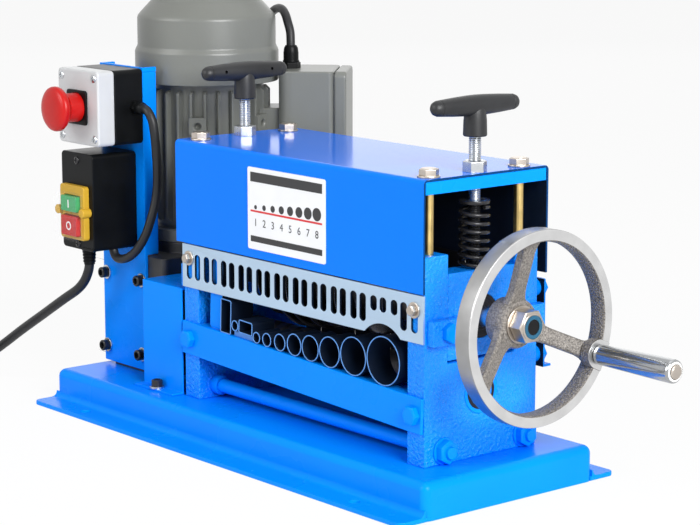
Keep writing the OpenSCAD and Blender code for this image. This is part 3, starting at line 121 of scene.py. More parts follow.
white = (1, 1, 1, 1)
world = bpy.data.worlds.new("studio")
world.use_nodes = True
scene.world = world
tree = world.node_tree
surround = feed(tree.nodes["Background"], {"Color": white, "Strength": 1})
ambient = add_node(tree, "ShaderNodeBackground", {"Color": (0.95, 0.97, 1, 1), "Strength": 0.13})
mix_seen(tree, ambient, surround, 1, "World Output")

floor_half = 14
floor_mesh = bpy.data.meshes.new("floor")
floor_mesh.from_pydata([(-floor_half, -floor_half, 0), (floor_half, -floor_half, 0),
                        (floor_half, floor_half, 0), (-floor_half, floor_half, 0)], [], [(0, 1, 2, 3)])
floor = placed("floor", floor_mesh)
paper = bpy.data.materials.new("floor_paper")
paper.use_nodes = True
tree = paper.node_tree
tree.nodes.remove(tree.nodes["Principled BSDF"])
matt = add_node(tree, "ShaderNodeBsdfDiffuse", {"Color": (0.9, 0.9, 0.9, 1)})
glow = add_node(tree, "ShaderNodeEmission", {"Color": white})
mix_seen(tree, matt, glow, 0.93, "Material Output")
floor_mesh.materials.append(paper)


# Base pan: one steel sheet folded into a shallow tray and turned out along both long sides into
# bolt-down flanges, welded at its corners and sprayed with a blue enamel.
def finish(name, colour, mottle, roughness, grain, bump, metallic=0.0, coat=0.0, mottle_scale=40.0,
           stretch=(1, 1, 1), specular=0.5, depth=0.0004):
    """A surface with object-space noise in its colour, gloss and height. Its bumps are a depth in metres."""
    made = bpy.data.materials.new(name)
    made.use_nodes = True
    tree = made.node_tree
    place = tree.nodes.new("ShaderNodeTexCoord").outputs["Object"]
    place = add_node(tree, "ShaderNodeMapping", {"Vector": place, "Scale": stretch}).outputs["Vector"]
    noises = [add_node(tree, "ShaderNodeTexNoise", {"Vector": place, "Scale": scale, "Detail": detail})
              for scale, detail in ((mottle_scale, 4), (grain, 3))]
    cloud, fine = (noise.outputs["Fac"] for noise in noises)
    shades = add_node(tree, "ShaderNodeValToRGB", {"Fac": cloud})
    for end, position, gain in zip(shades.color_ramp.elements, (0.3, 0.7), (1 - mottle, 1 + mottle)):
        end.position = position
        end.color = (*[min(1, c * gain) for c in colour], 1)
    gloss = add_node(tree, "ShaderNodeMapRange",
                     {"Value": cloud, "To Min": roughness[0], "To Max": roughness[1]})
    height = add_node(tree, "ShaderNodeBump", {"Height": fine, "Strength": bump, "Distance": depth})
    feed(tree.nodes["Principled BSDF"], {
        "Base Color": shades.outputs["Color"], "Roughness": gloss.outputs["Result"], "Metallic": metallic,
        "Normal": height.outputs["Normal"], "Specular IOR Level": specular, "Coat Weight": coat,
        "Coat Roughness": 0.06})
    return made


def extent(node):
    """Lowest and highest corner of a node in millimetres."""
    low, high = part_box(node)
    return low / MM, high / MM


def outline(corners):
    """Closed outline through (u, v, radius) corners, each corner drawn as an arc of its radius."""
    steps = 6
    points = []
    for i, (u, v, radius) in enumerate(corners):
        here = Vector((u, v))
        before = (Vector(corners[i - 1][:2]) - here).normalized()
        after = (Vector(corners[(i + 1) % len(corners)][:2]) - here).normalized()
        if radius == 0:
            points.append(here)
            continue
        half = before.angle(after) / 2
        middle = here + (before + after).normalized() * (radius / math.sin(half))
        first = here + before * (radius / math.tan(half)) - middle
        last = here + after * (radius / math.tan(half)) - middle
        sweep = first.angle_signed(last)
        points += [middle + Matrix.Rotation(-sweep * k / steps, 2) @ first for k in range(steps + 1)]
    return points


def rounded(low, high, radius):
    """Outline of a rectangle between two (u, v) corners, all its corners of one radius."""
    return outline([(low[0], low[1], radius), (high[0], low[1], radius),
                    (high[0], high[1], radius), (low[0], high[1], radius)])


def prism(bm, points, axis, start, end, mark=0):
    """Extrudes an outline along an axis. It lies in the next two axes in turn, such as Y and Z for X."""
    along = "XYZ".index(axis)
    rings = []
    for height in (start, end):
        ring = []
        for u, v in points:
            spot = [0, 0, 0]
            spot[along], spot[(along + 1) % 3], spot[(along + 2) % 3] = height, u, v
            ring.append(bm.verts.new(Vector(spot) * MM))
        rings.append(ring)
    faces = [bm.faces.new(rings[0]), bm.faces.new(rings[1])]
    for k in range(len(points)):
        faces.append(bm.faces.new((rings[0][k - 1], rings[0][k], rings[1][k], rings[1][k - 1])))
    for face in faces:
        face.material_index = mark


def lathe(bm, profile, centre, axis, steps, closed=False):
    """Turns (along, radius) points round an axis; a radius of 0 closes the end in a pole."""
    along = "XYZ".index(axis)
    rings = []
    for height, radius in profile:
        ring = []
        for k in range(steps if radius > 0 else 1):
            angle = 2 * math.pi * k / steps
            spot = Vector(centre)
            spot[along] += height
            spot[(along + 1) % 3] += radius * math.cos(angle)
            spot[(along + 2) % 3] += radius * math.sin(angle)
            ring.append(bm.verts.new(spot * MM))
        rings.append(ring)
    for one, two in zip(rings, rings[1:] + rings[:1] if closed else rings[1:]):
        for k in range(steps):
            corners = [one[k % len(one)], one[(k + 1) % len(one)],
                       two[(k + 1) % len(two)], two[k % len(two)]]
            corners = list(dict.fromkeys(corners))
            if len(corners) > 2:
                bm.faces.new(corners)


def rod(bm, start, end, radius, centre, axis, steps):
    """Plain cylinder along an axis."""
    lathe(bm, [(start, 0), (start, radius), (end, radius), (end, 0)], centre, axis, steps)


def slab(bm, low, high, mark=0):
    """Plain box between two corners."""
    prism(bm, [(low[0], low[1]), (high[0], low[1]), (high[0], high[1]), (low[0], high[1])],
          "Z", low[2], high[2], mark)


def final_mesh(obj):
    """A new mesh of what an object's modifiers or text make."""
    return bpy.data.meshes.new_from_object(obj.evaluated_get(bpy.context.evaluated_depsgraph_get()))


def settle(obj):
    """Keeps what an object's modifiers make as its own plain mesh."""
    made = final_mesh(obj)
    worn = obj.data
    obj.modifiers.clear()
    obj.data = made
    bpy.data.meshes.remove(worn)


def loose(name, bm, finishes=()):
    """An object made from a mesh under construction, with its faces turned outwards."""
    bmesh.ops.recalc_face_normals(bm, faces=bm.faces)
    mesh = bpy.data.meshes.new(name)
    bm.to_mesh(mesh)
    bm.free()
    for look in finishes:
        mesh.materials.append(look)
    return placed(name, mesh)


def carve(obj, tool):
    """Takes a closed object away from another."""
    drill = obj.modifiers.new("cut", "BOOLEAN")
    drill.operation = "DIFFERENCE"
    drill.solver = "EXACT"
    drill.object = tool
    settle(obj)
    bpy.data.objects.remove(tool)


def cut(obj, bm):
    """Takes the closed shapes in a mesh under construction away from an object."""
    carve(obj, loose("cutter", bm))


def bevel(obj, width, steps, sharp, clamp=True):
    """Rounds an object's edges that are sharper than an angle in degrees."""
    edge = obj.modifiers.new("edge", "BEVEL")
    edge.width = width * MM
    edge.segments = steps
    edge.limit_method = "ANGLE"
    edge.angle_limit = math.radians(sharp)
    edge.use_clamp_overlap = clamp
    settle(obj)


def dress(obj, slot, nodes=(), body="machine_frame", soften=0.0, steps=2, sharp=38):
    """Rounds a piece's sharp edges, evens its shading and seats it on its body for its solids."""
    if soften:
        bevel(obj, soften, steps, sharp, clamp=False)
    obj.data.shade_smooth()
    obj.data.set_sharp_from_angle(angle=math.radians(sharp))
    even = obj.modifiers.new("even", "WEIGHTED_NORMAL")
    even.keep_sharp = True
    settle(obj)
    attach(obj, body)
    if nodes:
        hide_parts(*nodes)
    return obj


def piece(name, bm, looks, slot, nodes=(), body="machine_frame", **rounding):
    """A dressed piece made from a mesh under construction."""
    return dress(loose(name, bm, looks), slot, nodes, body, **rounding)


enamel = finish("blue_enamel", (0.0005, 0.25, 1.0), 0.04, (0.22, 0.32), 700, 0.05, mottle_scale=9,
                specular=0.08)
pan_low, pan_high = extent("base_pan")
sheet_t = 4
bend_r = 7
flange_w = 25
foot_bend_r = 5
foot_hole_r = 4.5
foot_hole_x = 188
foot_corner_r = 6
lap = 3
pan_half = pan_high.y - flange_w
bm = bmesh.new()
slab(bm, (pan_low.x, -pan_half, 0), (pan_high.x, pan_half, pan_high.z))
bmesh.ops.delete(bm, geom=[f for f in bm.faces if f.calc_center_median().z < MM], context="FACES_ONLY")
bmesh.ops.bevel(bm, geom=[e for e in bm.edges if not e.is_boundary], offset=bend_r * MM, segments=7,
                profile=0.5, affect="EDGES")
tray = loose("base_tray", bm, [enamel])
wall = tray.modifiers.new("sheet", "SOLIDIFY")
wall.thickness = sheet_t * MM
wall.offset = -1
settle(tray)
dress(tray, "blue_paint", ["base_pan"])

bm = bmesh.new()
for side in (-1, 1):
    inner = side * (pan_half - lap)
    outer = side * pan_high.y
    flange = outline([(pan_low.x, inner, 0), (pan_high.x, inner, 0), (pan_high.x, outer, foot_corner_r),
                      (pan_low.x, outer, foot_corner_r)])
    prism(bm, flange, "Z", 0, sheet_t)
flanges = loose("base_flanges", bm, [enamel])
bm = bmesh.new()
for x in (-foot_hole_x, foot_hole_x):
    for side in (-1, 1):
        rod(bm, -1, sheet_t + 1, foot_hole_r, (x, side * (pan_half + flange_w / 2), 0), "Z", 40)
cut(flanges, bm)
dress(flanges, "blue_paint", ["base_pan"], soften=0.7)

bm = bmesh.new()
for side in (-1, 1):
    arc = [(pan_half + foot_bend_r * (1 - math.sin(k * math.pi / 16)),
            sheet_t + foot_bend_r * (1 - math.cos(k * math.pi / 16))) for k in range(9)]
    fillet = [(pan_half - 1, sheet_t - 0.5), (pan_half + foot_bend_r, sheet_t - 0.5), *arc,
              (pan_half - 1, sheet_t + foot_bend_r)]
    prism(bm, [(side * y, z) for y, z in fillet], "X", pan_low.x + 0.3, pan_high.x - 0.3)
piece("base_bends", bm, [enamel], "blue_paint", ["base_pan"])


# End plates: two thick steel plates, flame cut and ground, each with an open slot for its bearing
# block. They are welded to the base pan and sprayed over, so the enamel on them is rougher.
def softened(node, name, look, slot, width, body="machine_frame", steps=2):
    """A copy of a node's solid with its edges rounded, as a file or a coat of paint leaves them."""
    bm = bmesh.new()
    bm.from_mesh(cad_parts[node].data)
    bmesh.ops.remove_doubles(bm, verts=bm.verts, dist=0.002 * MM)
    bmesh.ops.dissolve_limit(bm, angle_limit=math.radians(0.4), verts=bm.verts, edges=bm.edges)
    return piece(name, bm, [look], slot, [node], body, soften=width, steps=steps)


hammered = finish("hammered_enamel", (0.0005, 0.255, 1.0), 0.06, (0.24, 0.36), 400, 0.8, mottle_scale=14,
                  specular=0.3, depth=0.0028)
softened("right_end_plate", "right_frame_plate", hammered, "blue_paint", 0.9)
softened("left_end_plate", "left_frame_plate", hammered, "blue_paint", 0.9)

# Cross bars, keepers and blocks: sawn flat bar, drilled and sprayed with the frame. The cross bars carry
# the hood, and the keepers hold the sliding bearing blocks in the slots of the end plates.
softened("cross_bars", "hood_cross_bars", enamel, "blue_paint", 0.6)
softened("keeper_plates", "block_keepers", hammered, "blue_paint", 0.7)
softened("bearing_blocks", "blade_blocks", hammered, "blue_paint", 0.9, "blade_carriage")


# Fasteners: turned and forged heads that repeat all over the machine. Each kind is modelled once and
# set on its seats by one node tree, which is given the seats, the head and its finish.
def copying_tree(name, sockets):
    """Node tree that stands something on points and paints it, its inputs and the node that stands it."""
    tree = bpy.data.node_groups.new(name, "GeometryNodeTree")
    for socket, kind in sockets:
        tree.interface.new_socket(socket, in_out="INPUT", socket_type="NodeSocket" + kind)
    tree.interface.new_socket("Copies", in_out="OUTPUT", socket_type="NodeSocketGeometry")
    start = tree.nodes.new("NodeGroupInput").outputs
    stand = tree.nodes.new("GeometryNodeInstanceOnPoints")
    real = add_node(tree, "GeometryNodeRealizeInstances", {"Geometry": stand.outputs["Instances"]})
    paint = add_node(tree, "GeometryNodeSetMaterial",
                     {"Geometry": real.outputs[0], "Material": start["Finish"]})
    add_node(tree, "NodeGroupOutput", {"Copies": paint.outputs[0]})
    return tree, start, stand


def seat_tree():
    """Node tree that stands a copy of an object on every point, facing the point's own way."""
    sockets = (("Seats", "Geometry"), ("Fastener", "Object"), ("Finish", "Material"))
    tree, start, stand = copying_tree("seat_fasteners", sockets)
    model = add_node(tree, "GeometryNodeObjectInfo", {"Object": start["Fastener"]})
    way = add_node(tree, "GeometryNodeInputNamedAttribute", {"Name": "way"})
    way.data_type = "FLOAT_VECTOR"
    facing = add_node(tree, "FunctionNodeAlignRotationToVector", {"Vector": way.outputs["Attribute"]})
    facing.axis = "Z"
    feed(stand, {"Points": start["Seats"], "Instance": model.outputs["Geometry"],
                 "Rotation": facing.outputs["Rotation"]})
    return tree


def grown(name, mesh, tree, values):
    """An object with the mesh that a node tree makes from another mesh and named inputs."""
    obj = placed(name, mesh)
    nodes = obj.modifiers.new("nodes", "NODES")
    nodes.node_group = tree
    for item in tree.interface.items_tree:
        if item.in_out == "INPUT" and item.name in values:
            nodes[item.identifier] = values[item.name]
    settle(obj)
    return obj


def seated(name, head, seats, look, slot, nodes=()):
    """Copies of a head on (place, way) seats, as one piece."""
    mesh = bpy.data.meshes.new(name)
    mesh.from_pydata([Vector(place) * MM for place, way in seats], [], [])
    ways = mesh.attributes.new("way", "FLOAT_VECTOR", "POINT")
    ways.data.foreach_set("vector", [part for place, way in seats for part in way])
    return dress(grown(name, mesh, fastener_seats, {"Fastener": head, "Finish": look}), slot, nodes)


def washer(bm, start, thick, radius, centre, axis, steps):
    """Plain washer without its hole, its outer rim chamfered."""
    chamfer = 0.3
    lathe(bm, [(start, 0), (start, radius), (start + thick - chamfer, radius),
               (start + thick, radius - chamfer), (start + thick, 0)], centre, axis, steps)


def hex_head(name, flats, height, washer_d=0.0, washer_t=0.0):
    """Forged hexagon with a chamfered top and a low round face, on its washer if it has one."""
    bm = bmesh.new()
    origin = (0, 0, 0)
    corner = flats / 2 / math.cos(math.pi / 6)
    if washer_d:
        washer(bm, 0, washer_t, washer_d / 2, origin, "Z", 40)
    top = washer_t + height
    lathe(bm, [(washer_t, 0), (washer_t, corner), (top - 0.7, corner), (top, corner - 1.5), (top, 0)],
          origin, "Z", 6)
    lathe(bm, [(top - 0.4, 0), (top - 0.4, flats / 2 * 0.9), (top + 0.15, flats / 2 * 0.86), (top + 0.15, 0)],
          origin, "Z", 32)
    head = loose(name, bm)
    bevel(head, 0.35, 2, 40)
    return head


def socket_head(name, width, height):
    """Cap screw with a deep key socket."""
    bm = bmesh.new()
    socket_floor = height - 3.2
    lathe(bm, [(0, 0), (0, width / 2), (height - 0.8, width / 2), (height - 0.2, width / 2 - 0.5),
               (height, width / 2 - 1), (height, width * 0.29), (socket_floor, width * 0.27),
               (socket_floor, 0)], (0, 0, 0), "Z", 36)
    return loose(name, bm)


def remove(*tools):
    """Takes models that were only copied from out of the scene."""
    for tool in tools:
        bpy.data.objects.remove(tool)


fastener_seats = seat_tree()
right_low, right_high = extent("right_end_plate")
left_low, left_high = extent("left_end_plate")
keeper_low, keeper_high = extent("keeper_plates")
rear_low, rear_high = extent("rear_outlet_plate")
plate_mids = ((left_low.x + left_high.x) / 2, (right_low.x + right_high.x) / 2)
shaft_y = (right_low.y + right_high.y) / 2
mid_x = sum(plate_mids) / 2
outer_faces = ((left_low.x, -1), (right_high.x, 1))
keeper_faces = ((keeper_low.x, -1), (keeper_high.x, 1))
keeper_z = (keeper_low.z + keeper_high.z) / 2
keeper_bolt_y = 42
tie_spots = ((-42, 41), (44, 41))
bar_mid_z = 92
bar_slope = 12.8 / 314
bar_h = 29
bar_t = 3
bar_bolt_z = bar_mid_z - bar_h / 2
rear_skin = 68
rear_bolt_z = (rear_low.z + 10, rear_high.z - 8)
spacer_r = 7
bolt_head = hex_head("bolt_head", 14, 5.5)
tie_nut = hex_head("tie_nut", 17, 6.4, 22, 1.6)
seats = [((x, shaft_y + y, keeper_z), (way, 0, 0))
         for x, way in keeper_faces for y in (-keeper_bolt_y, keeper_bolt_y)]
for x in plate_mids:
    seats.append(((x, right_low.y - bar_t, bar_bolt_z - (x - mid_x) * bar_slope), (0, -1, 0)))
    seats += [((x, rear_skin, z), (0, 1, 0)) for z in rear_bolt_z]
seated("painted_bolts", bolt_head, seats, enamel, "blue_paint", ["frame_bolts"])
seats = [((x, y, z), (way, 0, 0)) for x, way in outer_faces for y, z in tie_spots]
seated("tie_rod_nuts", tie_nut, seats, enamel, "blue_paint", ["frame_bolts"])
remove(bolt_head, tie_nut)
bm = bmesh.new()
for x in plate_mids:
    for z in rear_bolt_z:
        rod(bm, right_high.y, rear_low.y, spacer_r, (x, 0, z), "Y", 32)
piece("rear_spacers", bm, [enamel], "blue_paint", ["frame_bolts"], soften=0.3)

# Tie rods: two round bars with turned-down threaded ends that hold the end plates apart, each with a
# collar against the left plate. They are sprayed with the frame.
softened("tie_rods", "frame_tie_rods", enamel, "blue_paint", 0.5)
bm = bmesh.new()
for y, z in tie_spots:
    lathe(bm, [(0, 0), (0, 8.5), (7, 8.5), (8, 7.5), (8, 0)], (left_high.x, y, z), "X", 40)
piece("tie_rod_collars", bm, [enamel], "blue_paint")

# Guide bar and rear plate: folded sheet that carries the tubes at the front and lets the stripped wire
# out at the back. Both are bolted to the edges of the end plates and sprayed blue.
softened("front_guide_bar", "tube_shelf", enamel, "blue_paint", 0.7)
rear_plate = softened("rear_outlet_plate", "rear_plate", enamel, "blue_paint", 0.4)
# A near-black finish of painted shade, for faces that lie in the machine's shadow: here the rear plate's
# inner front face.
painted_shade = finish("painted_shade_dark", (0.002, 0.007, 0.02), 0.2, (0.45, 0.6), 500, 0.1, specular=0.2)
rear_plate.data.materials.append(painted_shade)
rear_inside = (rear_skin - 1.5) * MM
for face in rear_plate.data.polygons:
    face.material_index = int(face.normal.y < -0.4 and face.center.y < rear_inside)

# Outlet curtain: a row of black strips hung inside the rear plate from the hood's back edge to the base
# pan, as painted shade so no light shows through the machine from behind. The row reaches behind the left
# plate.
shade_black = finish("painted_shade_black", (0.006, 0.006, 0.007), 0.3, (0.5, 0.65), 600, 0.15, specular=0.15)
flap_count = 12
flap_t = 1.2
flap_gap = 0.3
flap_stagger = 0.6
curtain_x = left_high.x - 10
curtain_y = 63.4
curtain_z = (pan_high.z + 1.5, rear_high.z + 9)
flap_pitch = (right_low.x - curtain_x) / flap_count
bm = bmesh.new()
for i in range(flap_count):
    x = curtain_x + i * flap_pitch
    y = curtain_y + flap_stagger * (i % 2)
    slab(bm, (x + flap_gap, y, curtain_z[0]), (x + flap_pitch - flap_gap, y + flap_t, curtain_z[1]))
piece("outlet_curtain", bm, [shade_black], "black_plastic", soften=0.2)

# Guide tubes: cut lengths of round and square tube in a row of sizes, tacked to the shelf and sprayed blue.
# Every face not turned to the front, inside and outside the tubes, takes the near-black painted shade, and
# the pale rims of the tube ends are their sawn edges with a painted highlight. The block beside the left
# plate stops the row.
tubes = softened("wire_guide_tubes", "guide_tubes", enamel, "blue_paint", 0.3)
sawn_edge_highlight = finish("sawn_edge_highlight", (0.1, 0.27, 0.62), 0.1, (0.35, 0.5), 600, 0.1, specular=0.3)
tubes.data.materials.append(painted_shade)
tubes.data.materials.append(sawn_edge_highlight)
tube_end_area = 160 * MM * MM
for face in tubes.data.polygons:
    if face.normal.y > -0.35:
        face.material_index = 1
    elif face.area < tube_end_area:
        face.material_index = 2

# Slotted front plate: a stamped strip of bare, lightly brushed steel that closes the gap between the hood
# and the tubes and lets the blades be seen; the blue in its colour is a painted reflection of the blue
# frame. Its slots are cut a little wider than the solid's, and a bolt holds each end.
bright_sheet = finish("brushed_sheet_blue_reflection", (0.45, 0.59, 0.74), 0.06, (0.3, 0.42), 900, 0.06, metallic=0.75,
                      mottle_scale=60, stretch=(0.08, 1, 1))
strip = softened("slotted_front_plate", "slotted_strip", bright_sheet, "bright_sheet", 0.2)
strip_low, strip_high = extent("slotted_front_plate")
strip_mid_z = (strip_low.z + strip_high.z) / 2
strip_ends = (strip_low.x + 1, strip_high.x - 1)
# The slit walls and the strip's back take the near-black painted shade, so the slits read dark.
strip.data.materials.append(painted_shade)
for face in strip.data.polygons:
    spot = face.center / MM
    inside = strip_ends[0] < spot.x < strip_ends[1] and strip_low.z + 0.6 < spot.z < strip_high.z - 0.6
    face.material_index = int(inside and face.normal.y > -0.5)
slit_spread = 1.2
slit_band = (strip_mid_z - 1, strip_mid_z + 13)
slit_break = 1.6
slit_reach = 4
short_slits = (20, 21, 22)
slit_xs = sorted(v.co.x / MM for v in strip.data.vertices
                 if slit_band[0] < v.co.z / MM < slit_band[1] and strip_ends[0] < v.co.x / MM < strip_ends[1])
slits = [[slit_xs[0]]]
for x in slit_xs[1:]:
    if x - slits[-1][-1] > slit_break:
        slits.append([])
    slits[-1].append(x)
slit_mids = [(edges[0] + edges[-1]) / 2 for edges in slits]
for vert in strip.data.vertices:
    x, z = vert.co.x / MM, vert.co.z / MM
    number = min(range(len(slit_mids)), key=lambda i: abs(slit_mids[i] - x))
    foot = strip_mid_z - 1.2 if number in short_slits else strip_low.z + 5
    if abs(x - slit_mids[number]) < slit_reach and foot < z < strip_high.z - 2:
        vert.co.x = (slit_mids[number] + (x - slit_mids[number]) * slit_spread) * MM

# Hood: one sheet folded over the blade shaft, open at its ends, sprayed the glossiest of all. Four long
# bolts through it and the cross bars hold it up.
gloss = finish("hood_enamel", (0.0005, 0.19, 0.95), 0.03, (0.1, 0.16), 500, 0.03, mottle_scale=6,
               specular=0.09)
# A dark blue for the hood's cut end edges, as painted shade; its inside faces take the near-black painted
# shade.
painted_shade_edge_blue = finish("painted_shade_edge_blue", (0.0005, 0.04, 0.15), 0.1, (0.3, 0.4), 500, 0.05, specular=0.1)
hood_sheet = softened("hood", "hood_sheet", gloss, "blue_paint", 0.3)
hood_sheet.data.materials.append(painted_shade)
hood_sheet.data.materials.append(painted_shade_edge_blue)
for face in hood_sheet.data.polygons:
    inward = face.normal.y * math.copysign(1, shaft_y * MM - face.center.y)
    face.material_index = 2 if abs(face.normal.x) > 0.6 else int(face.normal.z < -0.4 or inward > 0.4)
hood_low, hood_high = extent("hood")

# Chart on the hood: a thin white plate with a graded row of discs and plain numbers, one for each of
# the round channels below it. It is stuck to the hood's front.
white_face = finish("chart_white", (0.82, 0.83, 0.84), 0.02, (0.35, 0.45), 300, 0.03)
chart_ink = finish("chart_ink", (0.02, 0.02, 0.022), 0.1, (0.4, 0.5), 300, 0.03)
chart_red = finish("chart_red", (0.62, 0.02, 0.025), 0.06, (0.4, 0.5), 300, 0.03)
chart_x = (3, 105)
chart_z = (175, 244)
chart_t = 0.6
chart_face = hood_low.y - chart_t
ink_face = chart_face - 0.12
stripe_x = (chart_x[0] + 4, chart_x[1] - 4)
bm = bmesh.new()
prism(bm, rounded((chart_z[0], chart_x[0]), (chart_z[1], chart_x[1]), 2), "Y", chart_face, hood_low.y)
piece("chart_plate", bm, [white_face], "white_plastic", soften=0.12)
channel_count = 8
row_x = (chart_x[0] + 5, chart_x[1] - 5)
channel_pitch = (row_x[1] - row_x[0]) / channel_count
channel_xs = [row_x[0] + channel_pitch * (i + 0.5) for i in range(channel_count)]
disc_line = chart_z[0] + 34
number_line = chart_z[0] + 20
number_h = 9
bm = bmesh.new()
for i, x in enumerate(channel_xs):
    radius = 1.8 + 0.52 * i
    rod(bm, ink_face, chart_face, radius, (x, 0, disc_line + radius), "Y", 32)
for z, half in ((chart_z[1] - 8, 4), (chart_z[0] + 9, 2.5)):
    slab(bm, (stripe_x[0], ink_face, z - half), (stripe_x[1], chart_face, z + half))
for i, x in enumerate(channel_xs):
    number = bpy.data.curves.new("number", "FONT")
    number.body = str(i + 1)
    number.size = number_h * MM
    number.align_x = "CENTER"
    number.extrude = (chart_face - ink_face) * MM
    text = placed("number", number)
    shape = final_mesh(text)
    spot = Matrix.Translation(Vector((x, chart_face, number_line)) * MM)
    shape.transform(spot @ Matrix.Rotation(math.pi / 2, 4, "X"))
    bm.from_mesh(shape)
    bpy.data.objects.remove(text)
piece("chart_marks", bm, [chart_ink], "black_plastic")
bm = bmesh.new()
slab(bm, (stripe_x[0], ink_face, disc_line - 2.4), (stripe_x[1], chart_face, disc_line - 0.8))
piece("chart_line", bm, [chart_red], "red_plastic")

# Hood bolts: long yellow-zinc studs from the end plates up through the cross bars, with forged heads on
# flat washers, and the two shorter bolts of the front plate.
nickel = finish("nickel_steel", (0.5, 0.45, 0.4), 0.12, (0.24, 0.36), 700, 0.06, metallic=1.0,
                mottle_scale=90)
yellow_zinc = finish("yellow_zinc", (0.68, 0.5, 0.2), 0.14, (0.24, 0.36), 700, 0.06, metallic=1.0,
                     mottle_scale=90)
stud_spots = [(x, y) for x in plate_mids for y in (shaft_y - 48, shaft_y + 48)]
stud_r = 4
stud_foot = right_high.z - 19
stud_head = hex_head("stud_head", 14, 5.5, 18, 1.6)
strip_head = hex_head("strip_head", 8, 4, 13, 1.4)
strip_bolt_z = strip_mid_z + 7
seats = [((x, y, hood_high.z), (0, 0, 1)) for x, y in stud_spots]
seated("hood_bolt_heads", stud_head, seats, nickel, "yellow_zinc", ["hood_bolts"])
seats = [((x, strip_low.y, strip_bolt_z), (0, -1, 0)) for x in plate_mids]
seated("strip_bolt_heads", strip_head, seats, nickel, "yellow_zinc", ["hood_bolts"])
remove(stud_head, strip_head)
bm = bmesh.new()
for x, y in stud_spots:
    rod(bm, stud_foot, hood_high.z, stud_r, (x, y, 0), "Z", 36)
piece("hood_studs", bm, [yellow_zinc], "yellow_zinc", ["hood_bolts"])


# Press screws: zinc-plated studs with a rolled thread, each running in a nut on the hood and ending in
# a collar that bears on its spring. The black springs press the bearing blocks down.
def thread(start, end, radius, pitch):
    """Profile of a threaded stretch along its axis, with the crests slightly flattened."""
    turns = int((end - start) / pitch)
    profile = []
    for k in range(turns):
        z = start + k * pitch
        profile += [(z, radius - 0.6), (z + pitch * 0.4, radius), (z + pitch * 0.6, radius)]
    return profile


def spring_tree():
    """Node tree that stands a round-wire spring on every point."""
    sizes = [(name, "Float") for name in ("Turns", "Radius", "Height", "Wire")]
    tree, start, stand = copying_tree("press_spring", [("Seats", "Geometry"), *sizes, ("Finish", "Material")])
    coil = add_node(tree, "GeometryNodeCurveSpiral", {
        "Resolution": 48, "Rotations": start["Turns"], "Start Radius": start["Radius"],
        "End Radius": start["Radius"], "Height": start["Height"]})
    wire = add_node(tree, "GeometryNodeCurvePrimitiveCircle", {"Resolution": 14, "Radius": start["Wire"]})
    solid = add_node(tree, "GeometryNodeCurveToMesh", {
        "Curve": coil.outputs["Curve"], "Profile Curve": wire.outputs["Curve"], "Fill Caps": True})
    feed(stand, {"Points": start["Seats"], "Instance": solid.outputs["Mesh"]})
    return tree


zinc = finish("zinc_plate", (0.52, 0.54, 0.56), 0.1, (0.2, 0.32), 800, 0.05, metallic=1.0, mottle_scale=120)
black_oxide = finish("black_oxide", (0.016, 0.016, 0.018), 0.3, (0.2, 0.3), 500, 0.08, metallic=0.3)
spring_low, spring_high = extent("press_springs")
spring_wire_r = 1.7
spring_mid_r = 11.2
mesh = bpy.data.meshes.new("spring_seats")
mesh.from_pydata([Vector((x, shaft_y, spring_low.z + spring_wire_r)) * MM for x in plate_mids], [], [])
coil_h = spring_high.z - spring_low.z - 2 * spring_wire_r
springs = grown("coil_springs", mesh, spring_tree(), {
    "Turns": 7.0, "Radius": spring_mid_r * MM, "Wire": spring_wire_r * MM, "Height": coil_h * MM,
    "Finish": black_oxide})
dress(springs, "black_oxide", ["press_springs"], "blade_carriage")
screw_r = 5
screw_pitch = 1.5
collar_r = 12.5
collar_t = 3
collar_foot = spring_high.z + 0.4
collar_top = collar_foot + collar_t
for side, x in zip(("left", "right"), plate_mids):
    screw_low, screw_high = extent(f"{side}_press_screw")
    bm = bmesh.new()
    top = screw_high.z - 10
    lathe(bm, [(screw_low.z, 0), *thread(screw_low.z, top, screw_r, screw_pitch), (top, screw_r - 0.5),
               (top, 0)], (x, shaft_y, 0), "Z", 32)
    lathe(bm, [(collar_foot, 0), (collar_foot, collar_r - 0.5), (collar_foot + 0.5, collar_r),
               (collar_top - 0.5, collar_r), (collar_top, collar_r - 0.5), (collar_top, 0)],
          (x, shaft_y, 0), "Z", 48)
    # Below the collar's top face, the stud and the collar take the black finish as painted shade inside the
    # spring.
    for face in bm.faces:
        face.material_index = int(face.calc_center_median().z < collar_top * MM)
    piece(f"{side}_stud", bm, [zinc, black_oxide], "zinc_plate", [f"{side}_press_screw"], f"{side}_screw",
          sharp=50)
hood_nut = hex_head("hood_nut", 17, 9)
seats = [((x, shaft_y, hood_high.z), (0, 0, 1)) for x in plate_mids]
seated("screw_hood_nuts", hood_nut, seats, zinc, "zinc_plate", ["screw_nuts"])
remove(hood_nut)

